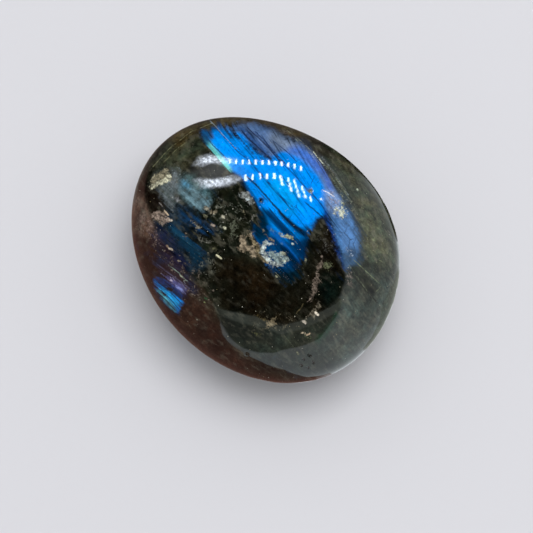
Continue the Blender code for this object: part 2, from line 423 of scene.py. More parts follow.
            ("#7f8070", 0.36, 1.5, [(13.5, 18), (16, 16.5), (19, 12), (21.5, 8), (19.5, 7), (16, 11),
                (14, 14.5)]),
            ("#6e7355", 0.3, 2.0, [(19, 13), (23, 10), (27, 4), (27, -4), (24, -6), (21, -2), (21, 4),
                (19, 9)]),
            ("#4a4a46", 0.45, 1.0, [(11, 4.5), (14, 6), (15.5, 3), (16, -1), (13.5, -1.5), (11.5, 0.5)]),
            ("#75665e", 0.55, 0.8, [(-28.5, 9), (-26.5, 8.5), (-25, 6.5), (-23, 2), (-24, 0.5),
                (-26.5, 3), (-28.5, 5)]),
            ("#788488", 0.5, 0.8, [(-21.4, 17.5), (-20, 18.4), (-18.6, 17.6), (-18, 15.5), (-19, 14.2),
                (-20.5, 15.6)]),
            ("#8c8ca0", 0.5, 1.0, [(13.5, 13.8), (15.6, 13.2), (17.2, 10.4), (17.4, 7), (15.4, 6.8),
                (14, 9.6)]),
            ("#5f6455", 0.6, 0.8, [(-8.6, 6.6), (-6.6, 6.6), (-5.6, 5), (-5.7, 3.5), (-6.5, 2), (-8, 3)]),
            ("#6e7d64", 0.55, 0.6, [(14.3, 15.6), (15.3, 16), (16.6, 14), (16, 13), (15, 14)]),
            ("#6e6660", 0.65, 0.8, [(18.2, -4.8), (19.2, -5.6), (19.6, -8), (18.8, -9.5), (18.2, -8),
                (18, -6)]),
            ("#8a908f", 0.85, 0.5, [(-6, 12.8), (-4.8, 13.4), (-3.4, 12.4), (-2.4, 10.6), (-2.8, 9.9),
                (-4.2, 10.5), (-5.4, 11)]),
            ("#9c8e78", 1.2, 0.35, [(-6, 2.6), (-5.3, 3.3), (-4.5, 2.4), (-4.2, 1.4), (-3.9, 0.6),
                (-2.9, 0.9), (-2.2, 0.1), (-2.3, -0.9), (-1.9, -2), (-2.7, -1.7), (-3.5, -0.5),
                (-4.8, -0.6), (-5.9, 0.2), (-5.5, 1.2)]),
            ("#94866f", 1.0, 0.3, [(-4.3, 3.9), (-3.6, 4), (-2.9, 3.9), (-2.8, 2.7), (-3.4, 2.5),
                (-4, 3.1)]),
            ("#85795f", 1.05, 0.3, [(-3.2, 2.2), (-2, 1.6), (-1.3, 0.6), (-1.6, -0.9), (-0.2, -2.4),
                (1.3, -3.6), (0.4, -3.5), (-1.5, -1.9), (-2.3, -0.6), (-2.1, 0.6), (-3, 1.5)]),
            ("#8fa19f", 1.0, 0.5, [(0.1, -0.7), (1.5, -0.3), (3.2, -0.5), (4.3, -1), (5, -2.4), (4.3, -3),
                (3.2, -3.3), (2, -2.6), (0.9, -1.9)]),
            ("#c4d0cc", 0.98, 0.25, [(-1.1, 0.5), (-0.9, 1.7), (-0.1, 2.1), (0.4, 1.5), (1.6, 1.3),
                (1.5, 0.7), (0.3, 1), (-0.3, 0.3), (-0.1, -0.9), (0.9, -2), (2, -2.7), (3.7, -3.2),
                (3.6, -3.7), (2, -3.9), (0.9, -3.1), (-0.6, -2), (-1.3, -0.8)]),
            ("#c0c4ac", 1.0, 0.3, [(2.9, -0.9), (3.7, -0.2), (4.8, -1.4), (4.3, -1.6), (3.6, -1),
                (3.9, -2.2), (4.9, -2.6), (3.9, -2.9), (3, -2)]),
            ("#969a7d", 1.05, 0.25, [(2.7, 4.3), (3.3, 3.5), (4.4, 3.1), (5.2, 3.5), (5.9, 3.3),
                (6.7, 2.5), (6.4, 2), (5.4, 2.5), (4.2, 2.6), (3, 3.3)]),
            ("#78705f", 1.0, 0.25, [(-1.3, 4.9), (-0.9, 4.8), (0.4, 3.3), (0.9, 2.5), (1.7, 2),
                (1.5, 1.5), (0.6, 2.3), (0, 3.3)]),
            ("#4b7391", 0.75, 0.25, [(0.8, 5.2), (1.6, 4.8), (2.2, 3.5), (1.9, 3.5), (1.3, 4.3)]),
            ("#766a60", 0.85, 0.3, [(12.2, -1.2), (12.9, -1.4), (12.9, -3), (12.4, -4.2), (12.1, -5.6),
                (11.8, -6.8), (12.7, -7.1), (12.6, -7.6), (11.8, -7.9), (11.8, -9), (11.3, -10.2),
                (10.4, -10.9), (9.7, -11.9), (8.8, -12.1), (9.5, -11.3), (10, -10.2), (10.1, -8.8),
                (10.3, -7.2), (10.9, -6.4), (11.3, -5), (11.8, -3.8), (12.2, -2.6)]),
            ("#6e685a", 0.85, 0.25, [(11.4, -11.5), (12.2, -11.3), (12.2, -12.4), (11.5, -13.3),
                (11, -14.2), (11.1, -15.1), (10.4, -14.9), (9.8, -14.9), (9.2, -15.8), (8.9, -16.4),
                (8.5, -16.2), (9, -15.5), (9.9, -14.4), (10.4, -13.4), (11.3, -12.6)]),
            ("#646950", 0.95, 0.3, [(12.8, -3.2), (13.6, -2.8), (14.3, -3.2), (15, -3.7), (14.4, -4.3),
                (13.6, -4.4), (12.9, -4)]),
            ("#969078", 1.1, 0.35, [(-25.7, 14.4), (-25.3, 15.6), (-24.5, 16.6), (-23.2, 17.2),
                (-22.2, 17.9), (-21.5, 17.4), (-21.1, 16.4), (-20.9, 15.4), (-22.5, 14.6), (-24.3, 13.8),
                (-25.3, 13.5)]),
            ("#d2d1b6", 1.1, 0.3, [(-25.8, 14.1), (-24.9, 14.9), (-24, 15.5), (-23, 15.6), (-22.3, 16),
                (-22.1, 17.3), (-21.6, 17.4), (-21.2, 16.5), (-20.9, 15.4), (-22, 14.9), (-23.4, 14.3),
                (-24.7, 13.6), (-25.5, 13.3)]),
            ("#97877b", 0.92, 0.5, [(-25.3, 8), (-24.3, 8.4), (-23, 8.2), (-22, 7.6), (-21.2, 6.9),
                (-20.8, 6.2), (-21.6, 5.8), (-22.2, 5.4), (-23, 5.6), (-23.9, 6), (-24.6, 6.5),
                (-25.4, 7.1)]),
            ("#8c9196", 0.9, 0.3, [(-20.3, 11.4), (-19.7, 11.6), (-19.2, 10.9), (-19.6, 10.3),
                (-20.1, 10.7)]),
            ("#8f8a7a", 0.85, 0.35, [(-13.9, 9.6), (-13.2, 10.1), (-12.6, 9.4), (-12.9, 8.8),
                (-13.5, 8.8)]),
            ("#9b917b", 0.9, 0.35, [(-12.3, 8.8), (-11.5, 9.2), (-10.8, 8.6), (-11.2, 8), (-12, 8.2)]),
            ("#73756a", 0.8, 0.25, [(-11.9, 9.8), (-10.6, 9.9), (-9.9, 9.2), (-9.1, 8.3), (-9.4, 8.3),
                (-10.3, 9.2), (-11.5, 9.4)]),
            ("#757560", 0.85, 0.3, [(-14.3, 7.6), (-13.5, 8), (-12.9, 7.3), (-13.5, 6.9)]),
            ("#97907c", 0.85, 0.3, [(-16.4, 6.5), (-15.7, 6.2), (-14.6, 5.4), (-14, 4.9), (-14.7, 4.6),
                (-15.4, 5.2), (-16.1, 5.9)]),
            ("#66675f", 0.75, 0.35, [(-15.7, 4.2), (-15.2, 4.3), (-14.6, 2.9), (-13.6, 2.3), (-12, 1.9),
                (-11.4, 2.3), (-11.3, 1.6), (-13, 1.4), (-14.3, 1.4), (-15.3, 2.6)]),
            ("#8c7d6e", 0.9, 0.3, [(-18.4, 3.7), (-17.8, 4), (-17.2, 3.3), (-17.4, 2.7), (-18.1, 2.9)]),
            ("#77725c", 0.85, 0.3, [(-5.2, 8.4), (-4.6, 8.5), (-4.3, 7.7), (-4.9, 7.4)]),
            ("#7a7a72", 0.85, 0.3, [(-3.2, 7.7), (-2.3, 7.8), (-2, 7.1), (-2.7, 6.8), (-3, 6.1),
                (-3.5, 6.3)]),
            ("#64675a", 0.7, 0.3, [(-6.8, 9.9), (-5.8, 10.3), (-4.4, 11.2), (-4.7, 11.5), (-6, 10.8)]),
            ("#5c5c46", 0.75, 0.5, [(-11.7, 0.3), (-10.8, 0.6), (-10.2, -0.2), (-10.9, -0.8),
                (-11.7, -0.5)]),
            ("#82765e", 0.9, 0.35, [(0.1, -16.3), (1.2, -15.4), (2, -14.5), (2.4, -15), (2.2, -16),
                (2.8, -17), (1.6, -16.7), (1.2, -18.1), (0.5, -17.6), (-0.1, -17.3)]),
            ("#4b4128", 0.75, 0.5, [(-2.2, -14.7), (-0.8, -14.8), (0.4, -15.6), (0.6, -16.4),
                (-0.4, -16.3), (-1.4, -15.6)]),
            ("#4c4c30", 0.6, 0.5, [(-3.4, -19), (-2.6, -18.4), (-1.6, -18.5), (-0.9, -19.6), (-1.8, -20),
                (-2.9, -19.8)]),
            ("#5a5a50", 0.85, 0.3, [(7.4, -15.4), (8.1, -15.2), (8.6, -15.8), (8, -16.2), (7.5, -16)]),
            ("#505541", 0.8, 0.2, [(8.3, -19.4), (8.9, -20.2), (9.6, -20.5), (10.3, -19.9), (10, -19.6),
                (9.3, -20), (8.7, -19.3)]),
            ("#c4c7ac", 0.78, 0.7, [(15, 9.6), (16.4, 9.8), (17.8, 9), (17.8, 7), (16.8, 6.4),
                (15.3, 7.4)]),
            ("#b9be9b", 0.7, 0.6, [(16.3, 11.8), (17.4, 12.1), (17.7, 10.5), (17.3, 9.2), (16.5, 10)]),
            ("#96a5b9", 0.65, 0.4, [(17.6, 0.8), (18.6, 0.6), (19.8, -1), (19.6, -1.9), (18.8, -1.3)]),
        ],
        # fissures, strands and bright laths: colour, how whole they are, half width in mm, path
        "lines": [
            ("#0e3870", 0.8, 0.14, [(-10.9, 26.9), (-9.3, 25), (-7.6, 23.3), (-6.1, 21.6), (-3.9, 19.9)]),
            ("#10305c", 0.8, 0.11, [(-3.9, 19.9), (-1.9, 17.5), (1, 14.1), (5.5, 9.1)]),
            ("#8c9ca8", 0.7, 0.08, [(-12.6, 28.9), (-10.6, 26.8), (-8.4, 24.3), (-6.5, 22.3)]),
            ("#1c2844", 0.9, 0.22, [(-5.1, 26.1), (-3.9, 24.7), (-1.7, 22.7), (0.1, 21), (1.2, 20)]),
            ("#242c48", 0.9, 0.15, [(-4.1, 27.1), (-1.2, 24.4), (0.8, 22.4), (3.3, 19.5)]),
            ("#14306a", 0.8, 0.12, [(3.3, 19.5), (6.2, 16.8), (8.5, 14.1), (11.7, 10.8), (13.1, 9.1)]),
            ("#1c305a", 0.85, 0.13, [(-2.2, 26.1), (-0.2, 24.2), (2.3, 21.2), (4.3, 19.2)]),
            ("#20345c", 0.8, 0.12, [(1.8, 24), (3.6, 22.6), (5, 21.5), (6.6, 19.8)]),
            ("#0a4490", 0.65, 0.09, [(-6.1, 22.6), (-3.2, 19.3), (-0.2, 16), (2.3, 13.1), (5.2, 9.8)]),
            ("#1a3c5c", 0.8, 0.14, [(-13.4, 25.4), (-11.8, 23.2), (-9.8, 21.3), (-8.2, 19.6)]),
            ("#1a251c", 0.75, 0.16, [(13.2, 20.6), (15.8, 17), (18, 13.4), (19.6, 9.8)]),
            ("#1a251c", 0.65, 0.12, [(12.2, 20.4), (14.6, 16.6), (16.6, 13.4)]),
            ("#122030", 0.9, 0.24, [(-4.2, 16.2), (-2.5, 14.7), (0, 12), (2.3, 9.3), (4.3, 7.2),
                (6.3, 5.2), (8, 4.2)]),
            ("#0a2444", 0.75, 0.17, [(0.9, 8.9), (3, 6.5), (5, 4.3), (6.5, 3), (8, 1), (9.2, -0.2)]),
            ("#051722", 0.75, 0.3, [(2.2, -3.9), (4, -5.4), (5.8, -7.6)]),
            ("#051722", 0.7, 0.26, [(4.6, -1.2), (6.6, -3), (8.4, -5.6)]),
            ("#0a1c3c", 0.8, 0.16, [(9, 10.3), (10.5, 9), (12, 7.7), (13.5, 6.4), (14.8, 5.4)]),
            ("#0a286e", 0.6, 0.12, [(3.5, 11.8), (5.9, 9.7), (6.3, 8.6), (5.3, 6.8)]),
            ("#0a286e", 0.6, 0.12, [(7.2, 11), (6.8, 9.4), (9, 6.7)]),
            ("#0a3c96", 0.6, 0.12, [(10.9, 16.2), (10.2, 14.8), (9.9, 13.6)]),
            ("#28405f", 0.7, 0.09, [(17, 7), (18.2, 5.2), (17.6, 3.6), (18.8, 2.2), (18.4, 0.5),
                (19.4, -0.8)]),
            ("#28405f", 0.65, 0.09, [(20.2, 5.5), (19.4, 4), (20.2, 2.4), (19.5, 1.2), (20, -0.8)]),
            ("#28405f", 0.65, 0.08, [(15.8, 4), (17.6, 3.6), (18.8, 2.2), (20.2, 2.4)]),
            ("#868c78", 0.52, 0.07, [(4, 27), (8, 24), (11.5, 20.6), (14.5, 16.8)]),
            ("#98a28e", 0.5, 0.06, [(6.5, 24.6), (10, 21.2), (12.6, 18)]),
            ("#c8cdb9", 0.8, 0.12, [(10.6, 21.7), (11.6, 20.4), (12.9, 18.9)]),
            ("#828c90", 0.48, 0.06, [(12.5, 20.5), (15.5, 16.5), (18.5, 12)]),
            ("#7c866e", 0.52, 0.07, [(13.6, 18.5), (16.5, 14.5), (19, 10.5)]),
            ("#78785a", 0.6, 0.1, [(-25, 18.4), (-21.5, 22.3), (-16.5, 26.2), (-12, 28)]),
            ("#78785a", 0.55, 0.08, [(-22.8, 19.2), (-19.6, 22.4), (-15.8, 25)]),
            ("#6c7459", 0.6, 0.11, [(19.6, -2.4), (22.6, -5.1), (25.7, -8), (24.8, -9.2)]),
            ("#5f6652", 0.68, 0.1, [(18.6, -3.6), (20.6, -6.4), (23.2, -10.2)]),
            ("#1c1c14", 0.75, 0.2, [(18.3, -4.6), (21, -7.6), (24.6, -11.6)]),
            ("#2c5460", 0.5, 0.12, [(-20, 3.6), (-17, 1.3), (-14.5, -1)]),
            ("#82968c", 0.72, 0.11, [(-21.5, -3.5), (-19.4, -5.1), (-17.5, -7)]),
            ("#5a5a78", 0.58, 0.12, [(-22.6, -4.6), (-20, -6.3), (-17, -8.6)]),
            ("#6a6e9a", 0.6, 0.08, [(-23.4, -5.2), (-20.8, -7.2), (-17.8, -9.8)]),
            ("#4e5068", 0.6, 0.12, [(-24, -3.4), (-21, -5.6), (-18.4, -7.6)]),
            ("#5f563c", 0.6, 0.12, [(7, -13.9), (7.6, -13.4), (8.2, -12.4)]),
            ("#464b3c", 0.65, 0.1, [(4, -19), (5.2, -20.4), (6.5, -22)]),
            ("#e6e1be", 1.0, 0.2, [(-10.9, -1.2), (-9.9, -2)]),
            ("#bec3a5", 1.0, 0.14, [(-18.9, -5.8), (-18.1, -6.5)]),
            ("#e1e1eb", 0.9, 0.12, [(12.8, 13.1), (13.9, 12.6), (15.1, 11.8)]),
            ("#beb9a5", 1.0, 0.32, [(-9.6, 7.3), (-9.3, 7.1)]),
            ("#b9b9a0", 1.0, 0.3, [(-9.1, 4.9), (-9, 4.6)]),
            ("#96897d", 1.0, 0.28, [(-12, 5.5), (-11.4, 5.3)]),
            ("#c8d7dc", 1.0, 0.26, [(-4.2, 11.2), (-3.8, 11.1)]),
            ("#bed0c8", 1.0, 0.22, [(5.9, 1.3), (6.1, 1.1)]),
            ("#3c6ea0", 0.9, 0.22, [(3.5, 1.4), (3.7, 1.2)]),
            ("#8c8c74", 0.9, 0.2, [(2.2, -5.8), (2.6, -6.2)]),
            ("#6e6e5a", 0.9, 0.22, [(8.9, -2.1), (8.9, -2.8)]),
            ("#e6dcc8", 1.0, 0.28, [(11.1, -14.1), (11.6, -14.5)]),
            ("#c3b9aa", 0.9, 0.26, [(8.3, -15.9), (8.9, -16.3)]),
            ("#cdb496", 1.0, 0.24, [(9.1, -19), (9.8, -18.7)]),
            ("#b9aa91", 1.0, 0.22, [(7.9, -18.5), (8.7, -18.6)]),
            ("#6e6e50", 0.9, 0.2, [(7, -22.8), (7.3, -23.3)]),
            ("#b9aa96", 1.0, 0.22, [(-21.4, 0.2), (-20.7, -0.1)]),
            ("#82705f", 0.9, 0.22, [(-22, 0.8), (-21.6, 0.6)]),
            ("#7d7365", 0.9, 0.2, [(-19.5, -2.5), (-19, -2.7)]),
            ("#c8bed7", 0.9, 0.2, [(-21.2, -6.8), (-20.8, -7)]),
            ("#7c88c4", 0.9, 0.3, [(-19.6, -8.3), (-18.6, -9)]),
            ("#96a06e", 0.9, 0.13, [(-13.6, -11.7), (-13.2, -11.9)]),
            ("#1e4b30", 0.7, 0.26, [(-13.5, -10.8), (-13, -11)]),
            ("#beaa91", 1.0, 0.18, [(-22.5, 8.6), (-21.6, 7.6)]),
            ("#beb4a5", 1.0, 0.22, [(-21.4, 6.5), (-20.9, 6.4)]),
            ("#6e6964", 0.85, 0.14, [(-23.6, 10.4), (-22.9, 9.6)]),
            ("#aab4a0", 0.95, 0.18, [(20.3, 13.4), (20.5, 13.1)]),
            ("#0f0f0f", 1.0, 0.24, [(9.4, -23.4), (9.9, -23.7)]),
            ("#0f0f0f", 1.0, 0.2, [(8.2, -24.3), (8.5, -24.6)]),
            ("#0f0f0f", 1.0, 0.22, [(10.4, -24.9), (10.6, -25.3)]),
            ("#0f0f0f", 1.0, 0.2, [(7.7, -25.6), (8, -25.9)]),
            ("#0f0f0f", 1.0, 0.18, [(9.3, -26.1), (9.5, -26.3)]),
            ("#1e100a", 0.95, 0.16, [(-4.5, -23.1), (-4.1, -23.5)]),
            ("#031e3c", 1.0, 0.14, [(-24.4, -8.3), (-22, -10.1), (-19.3, -13.2)]),
            ("#031e3c", 1.0, 0.13, [(-23.8, -7.4), (-21.6, -9.1), (-18.7, -12)]),
            ("#031e3c", 0.95, 0.12, [(-24, -9.6), (-22, -11.4), (-20.2, -13.4)]),
            ("#043050", 0.75, 0.1, [(-22.4, -7.6), (-20.2, -9.2), (-18.7, -10.8)]),
            ("#04060a", 1.2, 0.6, [(-1, 10.95), (-1, 10.8)]),
            ("#646450", 1.0, 0.5, [(9.8, 13), (10, 13)]),
            ("#1e1610", 1.1, 0.5, [(-21.5, -8.7), (-20.9, -9.1)]),
            ("#1e1610", 1.1, 0.32, [(-22.6, -10), (-22.3, -10.2)]),
        ],
    },
    "front": {
        "view": (49.0, -25.0),
        "tints": [
            ("#1d1712", 0.3, 3.0, [(-32, 10), (-12, 10), (-8, -2), (-14, -14), (-32, -10)]),
            ("#262b27", 0.5, 3.0, [(4, 12), (30, 12), (30, -6), (14, -14), (6, -4)]),
        ],
        "sheets": [
            ("#12506e", 0.9, 0.6, 1.1, [(-18, 2), (-14.6, 1.4), (-12, 3), (-10, -1), (-7, -4), (-7.6, -8),
                (-11, -6), (-13, -7.4), (-15, -3), (-18, -2.4)]),
            ("#2c3058", 0.9, 0.8, 1.2, [(6, 4), (10, 3), (13, -3), (12, -7), (8, -5), (5, 0)]),
        ],
        "frost": [
            ("#6e6858", 0.5, 1.2, [(-4, 3), (1, 4), (3, 0), (0, -4), (-5, -2)]),
            ("#a89c84", 0.85, 0.4, [(-2.5, 1.5), (-1, 2.2), (0.8, 1), (0.4, -0.6), (-1.6, -0.2)]),
            ("#7d8270", 0.45, 1.2, [(16, 2), (20, 3), (23, -1), (20, -5), (16, -3)]),
        ],
        "lines": [
            ("#0c0e0a", 0.8, 0.18, [(-22, 2), (-16, -2), (-10, -9)]),
            ("#82826a", 0.65, 0.12, [(9, 5), (13, 0), (18, -6)]),
        ],
    },
    "back": {
        "view": (229.0, 6.0),
        "tints": [
            ("#241f17", 0.4, 3.0, [(-30, 8), (-18, 9), (-14, 0), (-18, -12), (-30, -8)]),
            ("#2c3128", 0.6, 3.0, [(4, 12), (20, 10), (28, 2), (22, -10), (8, -13), (2, -2)]),
        ],
        "sheets": [
            ("#0f64aa", 0.8, 0.6, 1.3, [(-14, 5), (-11.5, 9), (-8.6, 7), (-7, 9.4), (-4.6, 6), (-4.2, 2),
                (-6.4, -0.6), (-6.2, -5), (-8, -9.5), (-9.8, -6), (-12.4, -3.6), (-12.6, 1)]),
            ("#1e8cc8", 0.6, 1.0, 0, [(-10, 4), (-7, 5.5), (-6, 2), (-7, -2), (-9.5, -1)]),
            ("#2c3468", 0.9, 0.8, 1.0, [(-3.4, 8), (-1.2, 7.4), (1.2, 2), (-0.2, -3), (-1.4, -8),
                (-3, -4), (-2.6, 1)]),
            ("#1a5468", 0.8, 0.6, 1.0, [(12, 4.6), (14.6, 3.4), (16.8, 5.6), (18.4, 1), (16.6, -2),
                (17, -6), (14.6, -8), (13.6, -3), (11.6, 0)]),
        ],
        "frost": [
            ("#7a7868", 0.42, 1.5, [(1, 7), (8, 8), (11, 2), (8, -5), (2, -6)]),
            ("#b4aa8c", 0.9, 0.4, [(4.6, 3.4), (6.2, 3.9), (7.4, 2.2), (6.6, 0.6), (5.2, 1.2)]),
            ("#c3c8be", 0.95, 0.3, [(-13.8, -2.2), (-12.8, -1.6), (-11.9, -3), (-12.8, -4.2),
                (-13.7, -3.6)]),
            ("#6e6450", 0.5, 1.2, [(-24, 3), (-19, 4), (-17, -1), (-20, -5), (-24, -3)]),
        ],
        "lines": [
            ("#081018", 0.9, 0.2, [(-8.6, 8), (-8, 2), (-8.4, -4), (-7.6, -9)]),
            ("#0a0c0a", 0.8, 0.16, [(10, 9), (10.8, 3), (10.2, -3), (11.4, -9)]),
            ("#96a08c", 0.7, 0.12, [(19, 6), (20.5, 1), (20, -5)]),
            ("#e6e1be", 1.0, 0.22, [(-17.4, 3.2), (-16.9, 2.2)]),
        ],
    },
    "left": {
        "view": (319.0, 6.0),
        "tints": [
            ("#241d18", 0.3, 3.0, [(-22, 8), (-4, 10), (0, -2), (-6, -13), (-22, -8)]),
            ("#1c211c", 0.5, 3.0, [(4, 10), (20, 8), (22, -4), (10, -13), (3, -4)]),
        ],
        "sheets": [
            ("#2d3c78", 0.9, 0.7, 1.3, [(-12, 4), (-8, 5), (-3, 1), (-4, -3), (-9, -2), (-13, 0)]),
            ("#0b5a8c", 0.8, 0.6, 1.2, [(5.6, 4), (8.4, 6.4), (11, 4.6), (13.4, 5), (14.4, 1), (12, -1),
                (12.6, -5), (9, -6.4), (8, -2), (6, -1)]),
        ],
        "frost": [
            ("#82766a", 0.45, 1.3, [(-3, -3), (3, -1), (7, -6), (2, -10), (-3, -8)]),
            ("#beb9a0", 0.9, 0.35, [(0.4, -4), (1.8, -3.4), (2.8, -4.8), (1.6, -6), (0.2, -5.4)]),
        ],
        "lines": [
            ("#0a0a08", 0.8, 0.18, [(-18, 1), (-10, -3), (-3, -4), (5, -9)]),
            ("#8c8c72", 0.65, 0.1, [(2, 8), (8, 1), (16, -5)]),
        ],
    },
    "right": {
        "view": (139.0, 6.0),
        "tints": [
            ("#2f3428", 0.6, 3.0, [(-20, 9), (-4, 11), (0, 0), (-6, -12), (-20, -8)]),
            ("#20251f", 0.4, 3.0, [(4, 11), (20, 9), (22, -4), (10, -13), (2, -3)]),
        ],
        "sheets": [
            ("#225088", 0.9, 0.6, 1.1, [(-7.4, 4), (-4, 3.4), (-2, 5.4), (1, 2), (-0.4, -1), (0.6, -5),
                (-3, -7), (-4.6, -3), (-7.6, -1.6)]),
            ("#2c3056", 0.9, 0.8, 1.2, [(8, 3), (12, 3), (14, -2), (11, -6), (8, -3)]),
        ],
        "frost": [
            ("#7d8264", 0.45, 1.3, [(-15, 3), (-10, 4), (-8, -2), (-11, -7), (-15, -4)]),
            ("#aab08c", 0.85, 0.35, [(4.2, 2), (5.4, 2.4), (6.2, 1), (5.4, 0), (4.2, 0.6)]),
        ],
        "lines": [
            ("#0c0e0a", 0.8, 0.16, [(-16, -1), (-9, -4), (-2, -9)]),
            ("#96a082", 0.65, 0.12, [(1, 7), (6, 4), (14, 3)]),
        ],
    },
    "under": {
        "view": (49.0, -80.0),
        "tints": [
            ("#211b15", 0.3, 4.0, [(-26, 12), (-8, 20), (0, 4), (-6, -14), (-26, -8)]),
            ("#232823", 0.5, 4.0, [(6, 18), (24, 8), (26, -8), (8, -18), (2, 0)]),
            ("#0e0f0b", 0.2, 3.0, [(-7, 7), (2, 9), (8, 3), (6, -6), (-3, -8), (-9, -1)]),
        ],
        "sheets": [
            ("#0a5aa0", 0.8, 0.7, 2.2, [(-16, 12), (-11, 13), (-5, 6), (-3, 0), (-6, -1), (-11, 3),
                (-16, 8)]),
            ("#2896c8", 0.5, 1.2, 0, [(-13, 10), (-10, 10.5), (-7, 6), (-9, 4.5)]),
            ("#2c346a", 0.9, 0.8, 1.3, [(7, 10), (11, 9), (15, 3), (14, -1), (10, 2)]),
            ("#14586e", 0.9, 0.6, 1.4, [(2, -8), (6, -9), (11, -14), (9, -17), (4, -13)]),
        ],
        "frost": [
            ("#7a786a", 0.42, 1.6, [(-4, 14), (4, 15), (7, 9), (2, 5), (-4, 7)]),
            ("#b4a68c", 0.9, 0.4, [(0.4, 11), (2.2, 11.6), (3.4, 10), (2.4, 8.6), (0.8, 9.2)]),
            ("#6e6858", 0.5, 1.4, [(-14, -6), (-8, -6), (-6, -11), (-10, -15), (-15, -11)]),
            ("#c3c3aa", 0.9, 0.35, [(12, -6.4), (13.4, -6), (14.2, -7.4), (13.2, -8.4), (12, -7.8)]),
        ],
        "lines": [
            ("#081018", 0.9, 0.2, [(-14, 12.6), (-9.5, 7.6), (-5, 2)]),
            ("#0c0c08", 0.8, 0.2, [(-19, -2), (-12, -5), (-3, -14)]),
            ("#8c8c74", 0.65, 0.12, [(8, 14), (14, 8), (20, -1)]),
            ("#e6e1c3", 1.0, 0.24, [(-1.6, -10.2), (-0.8, -10.8)]),
        ],
    },
}


def roundOff(outline, cuts=2):
    # cutting the corners turns a few points into a round outline
    ring = np.array(outline, float)
    for _ in range(cuts):
        following = np.roll(ring, -1, axis=0)
        ring = np.stack([ring * 0.75 + following * 0.25, ring * 0.25 + following * 0.75], 1).reshape(-1, 2)
    return ring


def nearTo(ends, across, up, reach):
    low, high = np.min(ends, axis=0) - reach, np.max(ends, axis=0) + reach
    return (across > low[0]) & (across < high[0]) & (up > low[1]) & (up < high[1])


def pathDistance(path, across, up):
    # mm to the path, and 1 on its left or -1 on its right
    nearest = np.full(across.shape, 1000.0)
    side = np.ones(across.shape)
    for (startX, startY), (endX, endY) in zip(path, path[1:]):
        runX, runY = endX - startX, endY - startY
        share = ((across - startX) * runX + (up - startY) * runY) / (runX * runX + runY * runY)
        share = np.clip(share, 0.0, 1.0)
        distance = np.hypot(across - startX - share * runX, up - startY - share * runY)
        closer = distance < nearest
        nearest[closer] = distance[closer]
        side[closer] = np.sign(runX * (up - startY) - runY * (across - startX))[closer]
    return nearest, side


def outlineDistance(outline, across, up, cuts=2, reach=5.0):
    # mm to the outline, above zero inside it, and no further than its reach outside it
    ring = [tuple(point) for point in roundOff(outline, cuts)]
    ring.append(ring[0])
    near = nearTo(ring, across, up, reach)
    x, y = across[near], up[near]
    inside = np.zeros(x.shape, bool)
    for (startX, startY), (endX, endY) in zip(ring, ring[1:]):
        if startY != endY:
            meets = (endX - startX) * (y - startY) / (endY - startY) + startX
            inside ^= ((startY > y) != (endY > y)) & (x < meets)
    nearest, _ = pathDistance(ring, x, y)
    distance = np.full(across.shape, -reach)
    distance[near] = np.where(inside, nearest, -nearest)
    return distance


def easeIn(value, low, high):
    share = np.clip((value - low) / (high - low), 0.0, 1.0)
    return share * share * (3.0 - 2.0 * share)


def giveAttribute(mesh, name, values):
    isColour = values.ndim == 2
    layer = mesh.attributes.new(name, "FLOAT_COLOR" if isColour else "FLOAT", "POINT")
    layer.data.foreach_set("color" if isColour else "value", values.astype(np.float32).ravel())


def meshVectors(items, key):
    values = np.zeros(len(items) * 3, np.float32)
    items.foreach_get(key, values)
    return values.reshape(-1, 3).astype(float)


laying = {
    "seed": 1,                 # of the bends and the raggedness, so that each run lays them the same way
    "bend": 6.0 * mm,          # size of the bends in the edges of tints
    "smallBend": 1.7 * mm,     # size of the smaller bends on them
    "smallShare": 0.4,         # how far those go, as a share of the others
    "rag": 0.8 * mm,           # size of the raggedness of frosty inclusions
    "tintReach": 1.3,          # mm that a tint's edge bends in or out
    "frostReach": 0.3,         # mm that the edge of frosty inclusions does
    "frostFade": (0.4, 0.3),   # mm more of soft edge outside and inside their outline
    "lineFade": (0.35, 0.8),   # mm past a line's half width over which it ends
    "lineReach": 1.5,          # mm round a line's path in which points are looked at
    "shortLath": 1.5,          # mm, the length under which a lath or speck is one rounded spot
    "speckSize": 0.75,         # share of its half width that counts as a rounded spot's own
    "speckCore": 0.5,          # how much of that is its even middle
    # how squarely the surface faces a view where its markings start to show and show in full: the
    # photograph's, the others', and the photograph's where the others' stop
    "photoShows": (-0.45, 0.0),
    "faceShows": (0.3, 0.6),
    "photoHides": (-0.4, 0.0),
}


def seenFrom(view, points, normals):
    # where a view sees each point, in mm right and up, and how squarely the surface faces it
    if view is None:
        across, up = onPhoto(points)
        return across, up, normals @ -np.array(photoAhead)
    right, above, ahead = viewAxes(*view)
    offsets = (points - np.array(stoneMiddle)) / mm
    return offsets @ np.array(right), offsets @ np.array(above), normals @ -np.array(ahead)


